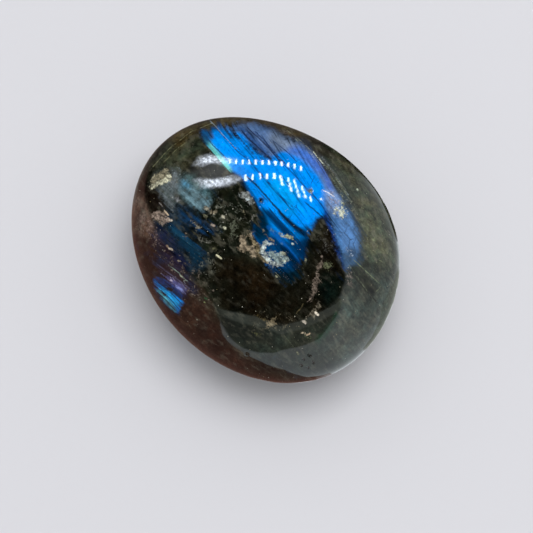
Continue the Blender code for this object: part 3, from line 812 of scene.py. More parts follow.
def markStone(stone):
    mesh = stone.data
    points = meshVectors(mesh.vertices, "co")
    normals = meshVectors(mesh.vertex_normals, "vector")
    count = len(points)
    photoFacing = normals @ -np.array(photoAhead)

    # the body's tints run into each other along wandering edges
    noise.seed_set(laying["seed"])
    bends, smallBends, rags = (
        np.array([noise.noise_vector(Vector(point) / laying[size]) for point in points])
        for size in ("bend", "smallBend", "rag"))
    wander = bends + laying["smallShare"] * smallBends
    ragged = wander + rags
    tint = np.tile(linearColour(*groundTint), (count, 1))
    flash = np.tile(linearColour(*groundFlash), (count, 1))
    flashEdge = np.full(count, -3.0)
    frost = np.zeros((count, 4))
    lines = np.zeros((count, 4))
    offsets = np.full(count, 4.0)

    for name, face in markings.items():
        across, up, facing = seenFrom(face["view"], points, normals)
        if name == "photo":
            shown = easeIn(facing, *laying["photoShows"])
            rim = (facing - 0.02) * 20.0    # the flash ends just inside the stone's outline
        else:
            shown = easeIn(facing, *laying["faceShows"])
            shown *= 1.0 - easeIn(photoFacing, *laying["photoHides"])
            rim = (shown - 0.5) * 3.0
        bentX = across + laying["tintReach"] * wander[:, 0]
        bentY = up + laying["tintReach"] * wander[:, 1]
        raggedX = across + laying["frostReach"] * ragged[:, 0]
        raggedY = up + laying["frostReach"] * ragged[:, 1]
        for colour, wisps, soft, outline in face["tints"]:
            edge = outlineDistance(outline, bentX, bentY)
            share = (easeIn(edge, -soft, soft) * shown)[:, None]
            tint = tint * (1.0 - share) + np.array(linearColour(colour, wisps)) * share
        for colour, stripes, soft, firmness, outline in face["sheets"]:
            edge = outlineDistance(outline, across, up)
            share = (easeIn(edge, -soft, soft) * (shown > 0.01))[:, None]
            flash = flash * (1.0 - share) + np.array(linearColour(colour, stripes)) * share
            if firmness:
                edge = np.minimum(edge * min(firmness, 1.0), firmness)
                flashEdge = np.maximum(flashEdge, np.minimum(edge, rim))
        for colour, cover, soft, outline in face["frost"]:
            edge = outlineDistance(outline, raggedX, raggedY, cuts=1)
            outside, inside = laying["frostFade"]
            amount = cover * easeIn(edge, -soft - outside, soft + inside) * shown
            stronger = amount > frost[:, 3] * 0.8
            frost[stronger] = np.array(linearColour(colour))
            frost[stronger, 3] = amount[stronger]
        for colour, strength, halfWidth, path in face["lines"]:
            near = np.flatnonzero(nearTo(path, across, up, laying["lineReach"]) & (shown > 0.01))
            distance, side = pathDistance(path, across[near], up[near])
            offset = distance * side / halfWidth
            if math.dist(path[0], path[-1]) < laying["shortLath"]:
                # the mesh is too coarse for two sides of a speck, so it is measured from its middle
                offset = distance / (laying["speckSize"] * halfWidth) - laying["speckCore"]
                offset = np.maximum(offset, 0.0)
            fadeStart, fadeEnd = laying["lineFade"]
            faded = easeIn(distance, halfWidth + fadeStart, halfWidth + fadeEnd)
            amount = strength * (1.0 - faded) * shown[near]
            stronger = (amount > 0.0) & (np.abs(offset) < np.abs(offsets[near]))
            chosen = near[stronger]
            lines[chosen] = np.array(linearColour(colour))
            lines[chosen, 3] = amount[stronger]
            offsets[chosen] = offset[stronger]

    giveAttribute(mesh, "bodyTint", tint)
    giveAttribute(mesh, "flashTint", flash)
    giveAttribute(mesh, "flashEdge", np.clip(flashEdge, -3.0, 3.0))
    giveAttribute(mesh, "frost", frost)
    giveAttribute(mesh, "lines", lines)
    giveAttribute(mesh, "lineOffset", np.clip(offsets, -4.0, 4.0))


# Small pits that the polish didn't reach: where the photograph sees them on the grid, and their
# radius and depth in mm
pits = [
    ((-1.0, 10.9), 0.6, 0.12),
    ((9.9, 13.0), 0.75, 0.16),
    ((-21.2, -8.9), 0.8, 0.14),
    ((-22.4, -10.1), 0.5, 0.1),
    ((12.5, -7.4), 0.6, 0.08),
    ((-4.2, -23.3), 0.5, 0.1),
    ((9.6, -23.6), 0.55, 0.1),
    ((21.5, 6.0), 0.6, 0.1),
]


def sinkPits(stone):
    mesh = stone.data
    points = meshVectors(mesh.vertices, "co")
    normals = meshVectors(mesh.vertex_normals, "vector")
    across, up, facing = seenFrom(None, points, normals)
    for (x, y), radius, depth in pits:
        share = np.clip(1.0 - (np.hypot(across - x, up - y) / radius) ** 2, 0.0, 1.0) ** 2 * (facing > 0.0)
        points -= normals * (share * depth * mm)[:, None]
    mesh.vertices.foreach_set("co", points.astype(np.float32).ravel())
    mesh.update()


# Polished labradorite: calcium rich feldspar, cut and hand polished. The eye sees a dark,
# slightly clear body with clouds, frosty grains and hairline cracks in it, sheets of blue schiller
# (light that the lamellae reflect, here painted into the base colour) that break off along thin
# parallel lamellae, and over it all a surface as smooth as glass.
labradorite = {
    "lamellaSlope": 48.0,     # degrees down to the right, as the photograph sees them
    "lamellaFan": 0.009,      # per mm along them, how much they spread
    "lamellaWander": 0.8,     # mm they bend off straight
    "broadLamella": 2.3,      # mm between the broad ones
    "fineLamella": 0.55,      # mm, drawn coarser than the real ones, which the eye can't part
    "seam": 1.35,             # mm between their dark seams
    "cloud": 5.0,             # mm across the body's clouds
    "mottle": 1.5,            # mm across the patches in a cloud
    "clump": 1.2,             # mm across the clumps of frosty inclusions
    "shard": 0.27,            # mm across the shards that they are broken into
    "grit": 0.5,              # mm across the finest grains, drawn as coarse as they need to show
    "crack": 3.4,             # mm across the blocks between hairline cracks
    # the glint specks are painted highlights in the base colour
    "glint": 0.9,             # mm between the specks that could glint
    "polishWave": 2.4,        # mm across the faint waves that the polish leaves
    "waveDepth": 0.009,       # mm
    "pinholeDepth": 0.4,      # mm, of the pits and open ends that a black line stands for
    "pinholeTone": (0.004, 0.0065),  # green of a line under which it is a pinhole, and past which it isn't
    "wispColour": "#6a685a",
    "glintColours": ("#86784e", "#d8d8cc"),
    "warmCast": (1.18, 1.0, 0.8, 1.0),    # what the body's tone is multiplied by where it is warm
    "coolCast": (0.88, 1.03, 0.98, 1.0),
    "underRoughness": (0.5, 0.34),   # of the stone under its polish, from its dull to its clear patches
    "grainRelief": 0.1,       # mm that the inclusions stand proud under the polish
    "polishRoughness": 0.04,
    "polishIor": 1.56,        # feldspar's own
}


def addLamellaFrame(tree):
    # mm along the lamellae, across them, and in depth; then the same with their bends and fan
    slope = math.radians(labradorite["lamellaSlope"])
    along = photoRight * math.cos(slope) - photoUp * math.sin(slope)
    across = photoRight * math.sin(slope) + photoUp * math.cos(slope)
    turn = Matrix((along, across, -photoAhead))
    coordinates = addNode(tree, "ShaderNodeTexCoord").outputs["Object"]
    plain = addNode(tree, "ShaderNodeMapping", {
        "Vector": coordinates, "Location": -(turn @ stoneMiddle) / mm, "Rotation": turn.to_euler(),
        "Scale": (1.0 / mm, 1.0 / mm, 1.0 / mm)})
    place = addNode(tree, "ShaderNodeSeparateXYZ", {0: plain}).outputs
    bend = addNode(tree, "ShaderNodeTexNoise", {"Vector": plain, "Scale": 0.07, "Detail": 1.0})
    bend = addNode(tree, "ShaderNodeMath", {
        0: bend, 1: 2.0 * labradorite["lamellaWander"]}, operation="MULTIPLY")
    fan = addNode(tree, "ShaderNodeMath", {
        0: place["X"], 1: labradorite["lamellaFan"], 2: 1.0}, operation="MULTIPLY_ADD")
    level = addNode(tree, "ShaderNodeMath", {0: place["Y"], 1: fan, 2: bend}, operation="MULTIPLY_ADD")
    bent = addNode(tree, "ShaderNodeCombineXYZ", {"X": place["X"], "Y": level, "Z": place["Z"]})
    return plain, bent, level


def addStreaks(tree, bent, lengthwise, crosswise, detail):
    # noise drawn out along the lamellae, its sizes in mm
    squeezed = addNode(tree, "ShaderNodeVectorMath", {
        0: bent, 1: (1.0 / lengthwise, 1.0 / crosswise, 0.15)}, operation="MULTIPLY")
    return addNode(tree, "ShaderNodeTexNoise", {"Vector": squeezed, "Scale": 1.0, "Detail": detail})


def addSway(tree, base, source, reach):
    # a value moved up and down by a noise, whose middle is 0.5
    centred = addNode(tree, "ShaderNodeMath", {0: source, 1: 0.5}, operation="SUBTRACT")
    return addNode(tree, "ShaderNodeMath", {0: centred, 1: reach, 2: base}, operation="MULTIPLY_ADD")


def addSeams(tree, level, spacing, width, patches, start):
    # dark lines between lamellae, where the patches noise passes a start value
    across = addNode(tree, "ShaderNodeMath", {0: level, 1: spacing}, operation="DIVIDE")
    gap = addNode(tree, "ShaderNodeTexVoronoi", {
        "W": across, "Scale": 1.0}, voronoi_dimensions="1D", feature="DISTANCE_TO_EDGE")
    line = addNode(tree, "ShaderNodeMapRange", {
        "Value": gap, "From Min": 0.1 * width / spacing, "From Max": 0.5 * width / spacing,
        "To Min": 1.0, "To Max": 0.0})
    here = addNode(tree, "ShaderNodeMapRange", {
        "Value": patches, "From Min": start, "From Max": start + 0.12})
    return addNode(tree, "ShaderNodeMath", {0: line, 1: here}, operation="MULTIPLY")


def addFlash(tree, level, noises):
    # how much of the flash shows, and its colour: the stone's schiller, which is light reflected off its
    # lamellae, painted into the base colour at fixed places whatever the view
    spacings = {"broad": labradorite["broadLamella"], "fine": labradorite["fineLamella"]}
    lamellae = {}
    for name, spacing in spacings.items():
        across = addNode(tree, "ShaderNodeMath", {0: level, 1: spacing}, operation="DIVIDE")
        cells = addNode(tree, "ShaderNodeTexVoronoi", {"W": across, "Scale": 1.0}, voronoi_dimensions="1D")
        lamellae[name] = addNode(tree, "ShaderNodeSeparateColor", {0: cells.outputs["Color"]}).outputs
    broad, fine = lamellae["broad"], lamellae["fine"]

    # it ends raggedly, each lamella at its own place
    edge = addNode(tree, "ShaderNodeAttribute", attribute_name="flashEdge").outputs["Fac"]
    ragged = edge
    for source, reach in ((broad["Red"], 1.5), (fine["Red"], 1.1), (noises["grit"], 1.2),
                          (noises["mottle"], 2.0)):
        ragged = addSway(tree, ragged, source, reach)
    here = addNode(tree, "ShaderNodeMapRange", {
        "Value": ragged, "From Min": -0.9, "From Max": 0.9}, interpolation_type="SMOOTHSTEP")

    # its light: striped by the lamellae, dark along their seams, weaker near its edge
    tint = addNode(tree, "ShaderNodeAttribute", attribute_name="flashTint")
    stripes = addNode(tree, "ShaderNodeMath", {0: fine["Green"], 1: 0.2}, operation="MULTIPLY")
    stripes = addNode(tree, "ShaderNodeMath", {
        0: broad["Green"], 1: 0.25, 2: stripes}, operation="MULTIPLY_ADD")
    for source, share in (("streaks", 0.25), ("longPatches", 0.3)):
        spread = addNode(tree, "ShaderNodeMapRange", {
            "Value": noises[source], "From Min": 0.32, "From Max": 0.68, "To Max": share})
        stripes = addNode(tree, "ShaderNodeMath", {0: stripes, 1: spread}, operation="ADD")
    stripes = addNode(tree, "ShaderNodeMath", {0: 0.5, 1: stripes}, operation="SUBTRACT")
    stripes = addNode(tree, "ShaderNodeMath", {0: stripes, 1: tint.outputs["Alpha"]}, operation="MULTIPLY")
    strength = addNode(tree, "ShaderNodeMath", {0: stripes, 1: 2.2, 2: 0.94}, operation="MULTIPLY_ADD")
    strength = addNode(tree, "ShaderNodeMath", {0: strength, 1: 0.05}, operation="MAXIMUM")
    inner = addNode(tree, "ShaderNodeMapRange", {
        "Value": edge, "From Min": -0.5, "From Max": 2.0, "To Min": 0.62, "To Max": 1.0})
    grainy = addNode(tree, "ShaderNodeMapRange", {
        "Value": noises["grit"], "From Min": 0.25, "From Max": 0.75, "To Min": 0.78, "To Max": 1.22})
    patchy = addNode(tree, "ShaderNodeMapRange", {
        "Value": noises["mottle"], "From Min": 0.3, "From Max": 0.7, "To Min": 0.82, "To Max": 1.15})
    seams = addSeams(tree, level, labradorite["seam"], 0.3, noises["longPatches"], 0.5)
    hairs = addSeams(tree, level, 0.45 * labradorite["seam"], 0.16, noises["streaks"], 0.5)
    seams = addNode(tree, "ShaderNodeMath", {0: seams, 1: -0.6, 2: 1.0}, operation="MULTIPLY_ADD")
    hairs = addNode(tree, "ShaderNodeMath", {0: hairs, 1: tint.outputs["Alpha"]}, operation="MULTIPLY")
    hairs = addNode(tree, "ShaderNodeMath", {0: hairs, 1: -0.95, 2: 1.0}, operation="MULTIPLY_ADD")
    for factor in (inner, grainy, patchy, seams, hairs):
        strength = addNode(tree, "ShaderNodeMath", {0: strength, 1: factor}, operation="MULTIPLY")
    colour = addNode(tree, "ShaderNodeVectorMath", {
        0: tint.outputs["Color"], 3: strength}, operation="SCALE")
    return here, colour


def addBody(tree, level, noises):
    # the dark body: clouds and patches, warm and cool, and paler fibres along the lamellae
    tint = addNode(tree, "ShaderNodeAttribute", attribute_name="bodyTint")
    cast = addNode(tree, "ShaderNodeMapRange", {"Value": noises["hue"], "From Min": 0.35, "From Max": 0.65})
    cast = addNode(tree, "ShaderNodeMix", {
        "Factor": cast, "A": labradorite["coolCast"], "B": labradorite["warmCast"]}, data_type="RGBA")
    body = addNode(tree, "ShaderNodeVectorMath", {0: tint.outputs["Color"], 1: cast}, operation="MULTIPLY")
    for source, low, high in (("cloud", 0.4, 1.6), ("mottle", 0.4, 1.6), ("grit", 0.6, 1.4),
                              ("streaks", 0.8, 1.2)):
        factor = addNode(tree, "ShaderNodeMapRange", {
            "Value": noises[source], "From Min": 0.3, "From Max": 0.7, "To Min": low, "To Max": high})
        body = addNode(tree, "ShaderNodeVectorMath", {0: body, 3: factor}, operation="SCALE")
    seams = addSeams(tree, level, 1.6 * labradorite["seam"], 0.28, noises["longPatches"], 0.5)
    seams = addNode(tree, "ShaderNodeMath", {0: seams, 1: 0.3, 2: 1.0}, operation="MULTIPLY_ADD")
    body = addNode(tree, "ShaderNodeVectorMath", {0: body, 3: seams}, operation="SCALE")
    veined = addNode(tree, "ShaderNodeMath", {
        0: noises["crystal"], 1: 0.35, 2: noises["wisps"]}, operation="MULTIPLY_ADD")
    veined = addNode(tree, "ShaderNodeMapRange", {
        "Value": veined, "From Min": 0.67, "From Max": 0.92}, interpolation_type="SMOOTHSTEP")
    veined = addNode(tree, "ShaderNodeMath", {0: veined, 1: tint.outputs["Alpha"]}, operation="MULTIPLY")
    return addNode(tree, "ShaderNodeMix", {
        "Factor": veined, "A": body, "B": linearColour(labradorite["wispColour"])}, data_type="RGBA")


def addFrost(tree, plain, noises):
    # frosty inclusions: where there are fewer of them, less of the clump noise shows. They are
    # broken into shards, each of its own tone
    frost = addNode(tree, "ShaderNodeAttribute", attribute_name="frost")
    value = addNode(tree, "ShaderNodeMath", {
        0: noises["fine"], 1: 0.6, 2: noises["clump"]}, operation="MULTIPLY_ADD")
    value = addNode(tree, "ShaderNodeMath", {0: value, 1: -0.8}, operation="ADD")
    value = addNode(tree, "ShaderNodeMath", {
        0: value, 1: 2.0, 2: frost.outputs["Alpha"]}, operation="MULTIPLY_ADD")
    here = addNode(tree, "ShaderNodeMapRange", {
        "Value": value, "From Min": 0.4, "From Max": 0.8, "To Max": 0.94}, interpolation_type="SMOOTHSTEP")
    thinned = addNode(tree, "ShaderNodeMapRange", {
        "Value": noises["grit"], "From Min": 0.35, "From Max": 0.6, "To Min": 0.7, "To Max": 1.0})
    here = addNode(tree, "ShaderNodeMath", {0: here, 1: thinned}, operation="MULTIPLY")
    bend = addNode(tree, "ShaderNodeTexNoise", {"Vector": plain, "Scale": 1.6, "Detail": 2.0})
    bend = addNode(tree, "ShaderNodeVectorMath", {
        0: bend.outputs["Color"], 1: (0.9, 0.9, 0.9), 2: plain}, operation="MULTIPLY_ADD")
    shards = addNode(tree, "ShaderNodeTexVoronoi", {"Vector": bend, "Scale": 1.0 / labradorite["shard"]})
    shards = addNode(tree, "ShaderNodeSeparateColor", {0: shards.outputs["Color"]}).outputs["Red"]
    tones = addNode(tree, "ShaderNodeMath", {
        0: shards, 1: 0.2, 2: noises["crystal"]}, operation="MULTIPLY_ADD")
    tones = addNode(tree, "ShaderNodeMath", {0: noises["grit"], 1: 0.6, 2: tones}, operation="MULTIPLY_ADD")
    tones = addNode(tree, "ShaderNodeMath", {0: tones, 1: -0.3}, operation="ADD")
    tones = addNode(tree, "ShaderNodeValToRGB", {0: tones})
    dark, bright = tones.color_ramp.elements
    dark.position = 0.42
    dark.color = (0.22, 0.22, 0.22, 1.0)
    bright.position = 0.82
    bright.color = (1.4, 1.4, 1.4, 1.0)
    middle = tones.color_ramp.elements.new(0.6)
    middle.color = (0.72, 0.71, 0.69, 1.0)
    colour = addNode(tree, "ShaderNodeVectorMath", {
        0: frost.outputs["Color"], 1: tones}, operation="MULTIPLY")
    return here, colour


def addLines(tree, noises):
    # fissures, veins and laths: the offset from each one's middle is in its own half widths
    lines = addNode(tree, "ShaderNodeAttribute", attribute_name="lines")
    offset = addNode(tree, "ShaderNodeAttribute", attribute_name="lineOffset").outputs["Fac"]
    offset = addSway(tree, offset, noises["grit"], 2.4)
    offset = addNode(tree, "ShaderNodeMath", {0: offset}, operation="ABSOLUTE")
    line = addNode(tree, "ShaderNodeMapRange", {
        "Value": offset, "From Min": 0.2, "From Max": 1.3, "To Min": 1.0, "To Max": 0.0})
    whole = addSway(tree, lines.outputs["Alpha"], noises["mottle"], 1.3)
    whole = addNode(tree, "ShaderNodeMapRange", {
        "Value": whole, "From Min": 0.35, "From Max": 0.8}, interpolation_type="SMOOTHSTEP")
    line = addNode(tree, "ShaderNodeMath", {0: line, 1: whole}, operation="MULTIPLY")
    shade = addNode(tree, "ShaderNodeMapRange", {
        "Value": noises["fine"], "From Min": 0.32, "From Max": 0.68, "To Min": 0.6, "To Max": 1.3})
    colour = addNode(tree, "ShaderNodeVectorMath", {0: lines.outputs["Color"], 3: shade}, operation="SCALE")
    return line, colour


def addCracks(tree, plain, noises):
    # hairline cracks, most of them hidden
    bend = addNode(tree, "ShaderNodeTexNoise", {"Vector": plain, "Scale": 0.3, "Detail": 3.0})
    bend = addNode(tree, "ShaderNodeVectorMath", {0: bend.outputs["Color"], 3: 2.0}, operation="SCALE")
    bend = addNode(tree, "ShaderNodeVectorMath", {0: plain, 1: bend}, operation="ADD")
    blocks = addNode(tree, "ShaderNodeTexVoronoi", {
        "Vector": bend, "Scale": 1.0 / labradorite["crack"]}, feature="DISTANCE_TO_EDGE")
    line = addNode(tree, "ShaderNodeMapRange", {
        "Value": blocks, "From Min": 0.0, "From Max": 0.04, "To Min": 0.65, "To Max": 0.0})
    shown = addNode(tree, "ShaderNodeMapRange", {
        "Value": noises["hue"], "From Min": 0.5, "From Max": 0.62, "To Max": 0.8})
    broken = addNode(tree, "ShaderNodeMapRange", {
        "Value": noises["mottle"], "From Min": 0.45, "From Max": 0.65})
    line = addNode(tree, "ShaderNodeMath", {0: line, 1: shown}, operation="MULTIPLY")
    return addNode(tree, "ShaderNodeMath", {0: line, 1: broken}, operation="MULTIPLY")


def addPaintedGlints(tree, plain):
    # painted glints: pale and warm specks in the base colour that stand for cleaved faces inside the stone
    # catching the light
    cells = addNode(tree, "ShaderNodeTexVoronoi", {"Vector": plain, "Scale": 1.0 / labradorite["glint"]})
    kind = addNode(tree, "ShaderNodeSeparateColor", {0: cells.outputs["Color"]}).outputs
    size = addNode(tree, "ShaderNodeMapRange", {
        "Value": kind["Red"], "From Min": 0.35, "From Max": 1.0, "To Min": 0.0, "To Max": 0.135})
    near = addNode(tree, "ShaderNodeMath", {0: size, 1: cells.outputs["Distance"]}, operation="SUBTRACT")
    here = addNode(tree, "ShaderNodeMapRange", {"Value": near, "From Min": 0.0, "From Max": 0.06})
    warm, pale = [linearColour(code) for code in labradorite["glintColours"]]
    colour = addNode(tree, "ShaderNodeMix", {
        "Factor": kind["Green"], "A": warm, "B": pale}, data_type="RGBA")
    return here, colour


def fillLabradorite(material):
    tree = material.node_tree
    shader = tree.nodes["Principled BSDF"]
    plain, bent, level = addLamellaFrame(tree)
    noises = {
        "streaks": addStreaks(tree, bent, 7.0, 0.45, 2.0),
        "crystal": addStreaks(tree, bent, 1.1, 0.6, 3.0),
        "wisps": addStreaks(tree, bent, 2.2, 1.1, 4.0),
        "longPatches": addStreaks(tree, bent, 9.0, 1.7, 2.0),
    }
    clouds = (("cloud", labradorite["cloud"], 3.0), ("mottle", labradorite["mottle"], 3.0),
              ("grit", labradorite["grit"], 3.0), ("fine", 0.7 * labradorite["grit"], 1.0),
              ("clump", labradorite["clump"], 4.0), ("hue", 0.8 * labradorite["cloud"], 2.0))
    for name, size, detail in clouds:
        noises[name] = addNode(tree, "ShaderNodeTexNoise", {
            "Vector": plain, "Scale": 1.0 / size, "Detail": detail, "Roughness": 0.62})

    colour = addBody(tree, level, noises)
    flashHere, flashColour = addFlash(tree, level, noises)
    frostHere, frostColour = addFrost(tree, plain, noises)
    # the glints are painted highlights, laid over the rest of the colour
    paintedGlintHere, paintedGlintColour = addPaintedGlints(tree, plain)
    crackHere = addCracks(tree, plain, noises)
    lineHere, lineColour = addLines(tree, noises)
    layers = ((flashHere, flashColour), (crackHere, (0.0, 0.0, 0.0, 1.0)), (frostHere, frostColour),
              (lineHere, lineColour), (paintedGlintHere, paintedGlintColour))
    for here, layer in layers:
        colour = addNode(tree, "ShaderNodeMix", {"Factor": here, "A": colour, "B": layer}, data_type="RGBA")
    tree.links.new(colour.outputs[2], shader.inputs["Base Color"])

    # the stone is rougher under its polish, with the grain of its inclusions
    dull, clear = labradorite["underRoughness"]
    under = addNode(tree, "ShaderNodeMapRange", {
        "Value": noises["grit"], "From Min": 0.3, "From Max": 0.7, "To Min": dull, "To Max": clear})
    tree.links.new(under.outputs[0], shader.inputs["Roughness"])
    relief = addNode(tree, "ShaderNodeMath", {0: frostHere, 1: noises["grit"]}, operation="ADD")
    below = addNode(tree, "ShaderNodeBump", {
        "Height": relief, "Strength": 0.3, "Distance": labradorite["grainRelief"] * mm})
    tree.links.new(below.outputs[0], shader.inputs["Normal"])

    # the polish: faint waves, and pinholes where a line is black
    wave = addNode(tree, "ShaderNodeTexNoise", {
        "Vector": plain, "Scale": 1.0 / labradorite["polishWave"], "Detail": 2.0})
    polish = addNode(tree, "ShaderNodeBump", {"Height": wave, "Distance": labradorite["waveDepth"] * mm})
    green = addNode(tree, "ShaderNodeSeparateColor", {0: lineColour}).outputs["Green"]
    blackest, darkest = labradorite["pinholeTone"]
    black = addNode(tree, "ShaderNodeMapRange", {
        "Value": green, "From Min": blackest, "From Max": darkest, "To Min": 1.0, "To Max": 0.0})
    holes = addNode(tree, "ShaderNodeMath", {0: black, 1: lineHere}, operation="MULTIPLY")
    polish = addNode(tree, "ShaderNodeBump", {
        "Height": holes, "Distance": labradorite["pinholeDepth"] * mm, "Normal": polish}, invert=True)
    tree.links.new(polish.outputs[0], shader.inputs["Coat Normal"])
    shader.inputs["Coat Weight"].default_value = 1.0
    shader.inputs["Coat Roughness"].default_value = labradorite["polishRoughness"]
    shader.inputs["Coat IOR"].default_value = labradorite["polishIor"]
    shader.inputs["Specular IOR Level"].default_value = 0.0


# Studio: a pale floor, a soft key light, and what the polish mirrors. Each mirrored card is
# placed by where its reflection lies on the stone in the photograph.

studio = {
    "cardDistance": 1.2,      # m from the stone
    "cardColumns": 40,        # how finely a card follows its reflection's outline
    "cardRows": 6,
    "cardFade": 3,            # columns over which an open card fades at its ends
    "lampDistance": 0.4,      # m
    "floorColour": "#cfcfd4",
    "keyPower": 9.0,          # W
    "keySize": 0.9,           # m
    "keyPlace": (0.05, 0.2, 1.2),    # m
    "fill": 0.66,             # brightness of the even light from all round
    "mirroredAround": ("#e6eef2", 1.2),   # what the polish mirrors above the ground, and its brightness
    "dimSide": 0.45,          # what is left of that to the right and up
    "mirroredLeft": ("#887a74", 1.0),     # what the rim mirrors from below, by its side
    "mirroredRight": ("#7d7a70", 0.45),
    "topShade": 0.3,          # what is left of the left one's at the top
    "lampColour": "#f0f8ff",
    "lampBrightness": 20.0,
    "blotchScale": 75.0,      # per m, of the blotches in a card's light
    "blotchTones": (0.42, 0.66),  # of their noise, where they are darkest and brightest
    "blotchDim": 0.2,         # what is left of a card's light between blotches
    "floorReach": 3.0,        # m from the stone to the floor's sides
    "floorRoughness": 0.9,
}

mirrorCards = {
    # colour, brightness, share of the distance, softness of the border, blotches, what is left of its
    # light at the far side, and two paths of its reflection's outline in mm on the grid: its border and
    # its far side, where a path of one point is the middle that the card closes on
    "darkCore": ("#000000", 0.0, 0.8, 0.04, 0.0, 1.0, [(-26.3, 8), (-24.7, 4), (-22.4, 0.5), (-19.6, -3),
        (-16.7, -6.3), (-14, -9), (-12.2, -11.3), (-11.2, -13.6), (-6, -14.3), (0, -15.8), (3, -17.4),
        (7.5, -16.2), (12, -14.2), (15.5, -12.5), (17.6, -9.5), (18.2, -5.5), (17.8, -2), (17, 3),
        (16, 9), (14.5, 15), (11, 21), (6, 25.3), (-1, 27.6), (-9, 28), (-16, 26.5), (-22, 22.8),
        (-24.6, 19.8), (-26, 18.2), (-26.8, 16.5), (-27.2, 14), (-27.2, 11), (-26.3, 8)], [(-1, 4)]),
    "coreHem": ("#b4beb4", 1.2, 0.9, 0.25, 0.0, 1.0, [(-10, -15), (-5, -16.8), (0, -17.8), (3.4, -19.2),
        (8, -18), (12.5, -16), (16, -14), (17.8, -12)], [(-11.5, -12.9), (-6, -14), (0, -15.5),
        (3, -17.1), (7.5, -16), (12, -14), (15.4, -12.3), (17.2, -10.5)]),
    "dimRing": ("#aab4aa", 0.5, 1.0, 0.05, 0.0, 1.0, [(-12, -12), (-11, -15), (-9.6, -17.5), (-8, -20),
        (-5.5, -22), (-2, -23.1), (2, -23.2), (4, -22.4), (7, -21.9), (10, -21), (12.3, -19.8),
        (14.3, -17.2), (16.3, -14.6), (17.5, -11), (8, -8), (-4, -8), (-12, -12)], [(3, -15)]),
    "warmSide": ("#c89082", 0.52, 1.1, 0.03, 0.0, 0.6, [(-25.4, 18.6), (-26.2, 14), (-26, 10), (-25, 7),
        (-23.2, 3.5), (-20.6, 0), (-17.6, -3.4), (-14.8, -6.6), (-12.4, -9.6), (-10.6, -13), (-10, -15.8),
        (-9.6, -18.6), (-8, -20.8), (-5, -22.9), (-2, -24.4), (1, -25.8), (4, -26.6), (6, -27.5),
        (9, -28.3), (12, -28.1), (16, -26.8)], [(-25.5, 20), (-28, 15), (-29.5, 9), (-30.5, 3), (-30, -3),
        (-28.5, -7), (-26, -12), (-23, -16), (-19.5, -20), (-16, -23), (-12, -26), (-8, -28), (-4, -29.3),
        (0, -30), (4, -30.3), (7, -30.3), (10, -30), (13, -29.5), (15, -28.5), (17, -27.5)]),
    "paleRim": ("#c8cdc3", 0.8, 1.2, 0.1, 0.0, 1.0, [(29.4, -3.5), (28.5, -7), (26.7, -10), (25.8, -12.5),
        (25.2, -16), (23.5, -19.5), (21.2, -22.5)], [(30.5, -4.5), (29.8, -8), (28.8, -11.5),
        (27.6, -14.5), (26, -17.8), (24, -21), (21.8, -23.2)]),
    "warmRim": ("#b4a096", 0.3, 1.0, 0.3, 0.0, 1.0, [(-28.6, -3), (-26.7, -9), (-23.8, -14.3),
        (-19.8, -18.9), (-15, -22.6), (-9.5, -25.6), (-4, -27.6)], [(-31, -3.5), (-29, -10), (-26, -16),
        (-21.6, -20.8), (-16.5, -25), (-10.4, -28.2), (-4.4, -30.4)]),
    "darkRim": ("#3c382c", 0.15, 1.0, 0.25, 0.0, 1.0, [(11, 23.8), (15.4, 20.8), (17.8, 19.2),
        (19.8, 17.6), (22.2, 15.6), (24, 13.4), (25.4, 11.1), (27, 7.6), (28.2, 4.4), (29.2, 1)],
        [(12, 24.6), (15.6, 22.6), (19.4, 19.6), (21.4, 17.8), (23.2, 16), (25.2, 13), (26.6, 10.6),
        (27.8, 8), (29, 4.6), (29.8, 1)]),
    "glareUpper": ("#e6f0ff", 34.0, 0.5, 0.9, 1.0, 1.0, [(-17, 18.4), (-15.6, 20.8), (-12.5, 21.6),
        (-9.5, 20.9), (-5.5, 20.3), (-5.5, 19), (-9.5, 18.5), (-12, 18.8), (-14.5, 18), (-17, 18.4)],
        [(-12, 19.9)]),
    "glareLower": ("#e6f0ff", 36.0, 0.5, 0.9, 1.0, 1.0, [(-17.4, 15.6), (-15, 13), (-12, 13.2),
        (-8.5, 13.7), (-5, 14.9), (-3, 16), (-6, 17), (-9, 16.4), (-12, 16), (-15, 16.2), (-17.4, 15.6)],
        [(-11, 14.9)]),
    "glareBetween": ("#e6ebf0", 1.3, 0.6, 0.9, 0.0, 1.0, [(-19, 17), (-15, 22), (-8, 21.5), (-3, 20.5),
        (-2, 15), (-8, 13.5), (-15, 12.5), (-19, 17)], [(-11, 17.5)]),
}

lampRows = [
    # path of a row of lamps' reflections on the grid, how many, each one's width and height in mm
    ([(-8.7, 19.6), (-4.7, 19.4), (0.2, 19.4), (4, 19), (6.4, 18.5), (8.5, 17.7)], 12, (0.45, 1.0)),
    ([(-5.2, 15.8), (-1.3, 16.3), (2.7, 16.2)], 5, (0.5, 1.3)),
    ([(3.3, 16.5), (3.8, 14.3)], 3, (0.5, 0.7)),
    ([(4.8, 16.0), (5.3, 14.5), (6.0, 12.8)], 3, (0.5, 0.9)),
    ([(6.3, 15.5), (7.0, 13.0), (7.6, 11.5)], 4, (0.45, 0.8)),
    ([(8.0, 14.2), (8.8, 12.0), (9.0, 11.2)], 3, (0.45, 0.8)),
    ([(9.9, 12.0), (10.1, 10.5)], 2, (0.4, 0.8)),
    ([(12.3, 11.4), (12.4, 11.0)], 1, (0.5, 0.5)),
]


stepIn = 0.995    # a place that misses the stone moves towards the grid's middle by such steps


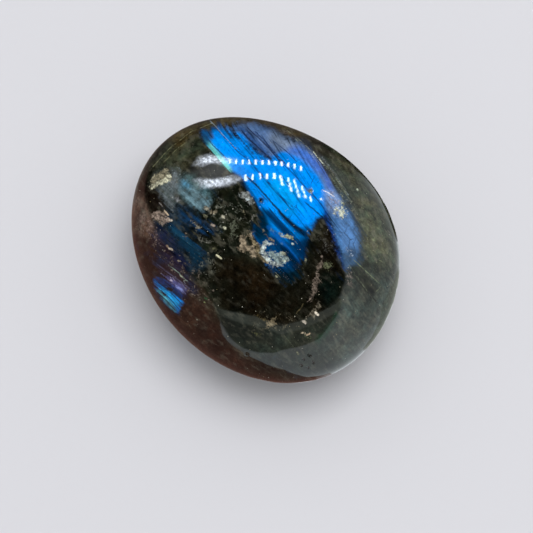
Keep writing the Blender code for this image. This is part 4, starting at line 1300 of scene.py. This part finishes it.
def mirroredPoint(surface, normals, place, distance):
    # a point that the photograph's eye sees mirrored at one place on the grid
    x, y = place
    hit = None
    while hit is None:
        across = photoRight * (x + photo["gridAt"][0])
        target = photoAim + (across + photoUp * (y + photo["gridAt"][1])) * mm
        ray = (target - photoEye).normalized()
        hit, _, face, _ = surface.ray_cast(photoEye, ray)
        x *= stepIn
        y *= stepIn
    polygon = polishedPebble.data.polygons[face]
    corners = [polishedPebble.data.vertices[i].co for i in polygon.vertices]
    weights = interpolate.poly_3d_calc(corners, hit)
    normal = sum((Vector(normals[i]) * w for i, w in zip(polygon.vertices, weights)), Vector()).normalized()
    return hit + (ray - normal * 2.0 * ray.dot(normal)) * distance


def alongPath(path, share):
    # the point at a share of a path's length
    lengths = [math.dist(a, b) for a, b in zip(path, path[1:])]
    if not lengths:
        return path[0]
    left = share * sum(lengths)
    for (startX, startY), (endX, endY), length in zip(path, path[1:], lengths):
        if left <= length:
            break
        left -= length
    part = min(left / length, 1.0)
    return startX + (endX - startX) * part, startY + (endY - startY) * part


def cardMaterial(name, colour, brightness, softness=0.0, blotches=0.0, farLight=1.0):
    # light that fades out at the card's border, and is even, in blotches or weaker at its far side
    glow = bpy.data.materials.new(name)
    glow.use_nodes = True
    tree = glow.node_tree
    tree.nodes.clear()
    light = addNode(tree, "ShaderNodeEmission", {"Color": linearColour(colour), "Strength": brightness})
    if blotches:
        spots = addNode(tree, "ShaderNodeTexCoord").outputs["Object"]
        spots = addNode(tree, "ShaderNodeTexNoise", {
            "Vector": spots, "Scale": studio["blotchScale"], "Detail": 4.0, "Roughness": 0.7})
        darkest, brightest = studio["blotchTones"]
        spots = addNode(tree, "ShaderNodeMapRange", {
            "Value": spots, "From Min": darkest, "From Max": brightest,
            "To Min": studio["blotchDim"] * brightness, "To Max": blotches * brightness})
        tree.links.new(spots.outputs[0], light.inputs["Strength"])
    depth = addNode(tree, "ShaderNodeAttribute", attribute_name="depth").outputs["Fac"]
    if farLight < 1.0:
        weaker = addNode(tree, "ShaderNodeMapRange", {
            "Value": depth, "To Min": brightness, "To Max": farLight * brightness})
        tree.links.new(weaker.outputs[0], light.inputs["Strength"])
    if softness:
        solid = addNode(tree, "ShaderNodeMapRange", {
            "Value": depth, "From Min": 0.0, "From Max": softness}, interpolation_type="SMOOTHSTEP")
        fade = addNode(tree, "ShaderNodeAttribute", attribute_name="fade").outputs["Fac"]
        solid = addNode(tree, "ShaderNodeMath", {0: solid, 1: fade}, operation="MULTIPLY")
        light = addNode(tree, "ShaderNodeMixShader", {
            0: solid, 1: addNode(tree, "ShaderNodeBsdfTransparent"), 2: light})
    addNode(tree, "ShaderNodeOutputMaterial", {"Surface": light})
    return glow


def stageMirrored(name, points, faces, material):
    # a stage piece that only the polish sees
    mesh = bpy.data.meshes.new(name)
    mesh.from_pydata(points, [], faces)
    mesh.materials.append(material)
    piece = addObject(name, mesh)
    for sense in ("camera", "diffuse", "transmission", "volume_scatter", "shadow"):
        setattr(piece, "visible_" + sense, False)
    return mesh


def makeMirrored():
    surface = BVHTree.FromObject(polishedPebble, bpy.context.evaluated_depsgraph_get())
    normals = meshVectors(polishedPebble.data.vertex_normals, "vector")
    columns, rows = studio["cardColumns"], studio["cardRows"]
    for name, card in mirrorCards.items():
        colour, brightness, nearness, softness, blotches, farLight, border, inner = card
        points, depths, fades = [], [], []
        for column in range(columns + 1):
            fade = 1.0 if len(inner) == 1 else min(column, columns - column) / studio["cardFade"]
            startX, startY = alongPath(border, column / columns)
            endX, endY = alongPath(inner, column / columns)
            for row in range(rows + 1):
                depth = row / rows
                place = (startX + (endX - startX) * depth, startY + (endY - startY) * depth)
                points.append(mirroredPoint(surface, normals, place, nearness * studio["cardDistance"]))
                depths.append(depth)
                fades.append(min(fade, 1.0))
        faces = [(i, i + 1, i + rows + 2, i + rows + 1)
                 for i in range(columns * (rows + 1)) if i % (rows + 1) < rows]
        light = cardMaterial(name, colour, brightness, softness, blotches, farLight)
        mesh = stageMirrored(name, points, faces, light)
        giveAttribute(mesh, "depth", np.array(depths))
        giveAttribute(mesh, "fade", np.array(fades))

    corners, faces = [], []
    for path, count, (wide, high) in lampRows:
        for i in range(count):
            x, y = alongPath(path, (i + 0.5) / count)
            faces.append([len(corners) + k for k in range(4)])
            for sideX, sideY in ((-1, -1), (1, -1), (1, 1), (-1, 1)):
                place = (x + sideX * wide / 2, y + sideY * high / 2)
                corners.append(mirroredPoint(surface, normals, place, studio["lampDistance"]))
    light = cardMaterial("lamps", studio["lampColour"], studio["lampBrightness"])
    stageMirrored("lamps", corners, faces, light)


def makeFloorAndKey():
    mesh = bpy.data.meshes.new("floor")
    reach = studio["floorReach"]
    mesh.from_pydata([(-reach, -reach, 0), (reach, -reach, 0), (reach, reach, 0), (-reach, reach, 0)],
                     [], [(0, 1, 2, 3)])
    paper = bpy.data.materials.new("matPaper")
    paper.use_nodes = True
    finish = paper.node_tree.nodes["Principled BSDF"].inputs
    finish["Base Color"].default_value = linearColour(studio["floorColour"])
    finish["Roughness"].default_value = studio["floorRoughness"]
    mesh.materials.append(paper)
    floor = addObject("floor", mesh)
    floor.visible_glossy = False

    lamp = bpy.data.lights.new("key", "AREA")
    lamp.energy = studio["keyPower"]
    lamp.size = studio["keySize"]
    key = addObject("key", lamp)
    key.location = studio["keyPlace"]
    key.rotation_euler = (stoneMiddle - key.location).to_track_quat("-Z", "Y").to_euler()
    key.visible_glossy = False


def makeWorld():
    # even light on everything; the polish mirrors a pale room above and dim tones below
    world = bpy.data.worlds.new("studio")
    world.use_nodes = True
    tree = world.node_tree
    direction = addNode(tree, "ShaderNodeTexCoord").outputs["Generated"]
    shares = {}
    sides = {
        # a direction, and how far towards it a tone starts and is all there
        "above": (Vector((0, 0, 1)), -0.15, 0.15),
        "right": (photoRight, -0.3, 0.25),
        "top": (photoUp, 0.1, 0.45),
        "open": (photoRight * 0.8 - photoUp * 0.6, 0.0, 0.2),
        "dim": (photoRight * 0.8 + photoUp * 0.6, 0.2, 0.8),
    }
    for name, (axis, low, high) in sides.items():
        lean = addNode(tree, "ShaderNodeVectorMath", {0: direction, 1: axis}, operation="DOT_PRODUCT")
        shares[name] = addNode(tree, "ShaderNodeMapRange", {
            "Value": lean.outputs["Value"], "From Min": low, "From Max": high},
            interpolation_type="SMOOTHSTEP")
    tones = {}
    for name in ("mirroredAround", "mirroredLeft", "mirroredRight"):
        colour, brightness = studio[name]
        tones[name] = [part * brightness for part in linearColour(colour)]
    left, right = tones["mirroredLeft"], tones["mirroredRight"]
    below = addNode(tree, "ShaderNodeMix", {
        "Factor": shares["right"], "A": left, "B": right}, data_type="RGBA")
    shade = [part * studio["topShade"] for part in left]
    below = addNode(tree, "ShaderNodeMix", {
        "Factor": shares["top"], "A": below, "B": shade}, data_type="RGBA")
    dimmed = [part * studio["dimSide"] for part in tones["mirroredAround"]]
    around = addNode(tree, "ShaderNodeMix", {
        "Factor": shares["dim"], "A": tones["mirroredAround"], "B": dimmed}, data_type="RGBA")
    overRim = addNode(tree, "ShaderNodeMath", {0: shares["above"], 1: shares["open"]}, operation="MAXIMUM")
    mirrored = addNode(tree, "ShaderNodeMix", {
        "Factor": overRim, "A": below, "B": around}, data_type="RGBA")
    glossy = addNode(tree, "ShaderNodeLightPath").outputs["Is Glossy Ray"]
    light = addNode(tree, "ShaderNodeMix", {
        "Factor": glossy, "A": [studio["fill"]] * 3 + [1.0], "B": mirrored}, data_type="RGBA")
    tree.links.new(light.outputs[2], tree.nodes["Background"].inputs["Color"])
    bpy.context.scene.world = world
    bpy.context.scene.view_settings.view_transform = "Standard"


stoneFinish = bpy.data.materials.new("polishedLabradorite")
stoneFinish.use_nodes = True
polishedPebble = makePebble(stoneFinish)
print("pebble formed:", len(polishedPebble.data.vertices), "points")
markStone(polishedPebble)
print("markings laid on")
fillLabradorite(stoneFinish)
print("labradorite mixed")
makeMirrored()
makeFloorAndKey()
makeWorld()
sinkPits(polishedPebble)    # last, so that they don't turn the mirrored cards
print("studio set")

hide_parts(stoneNode)
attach(polishedPebble, "root")
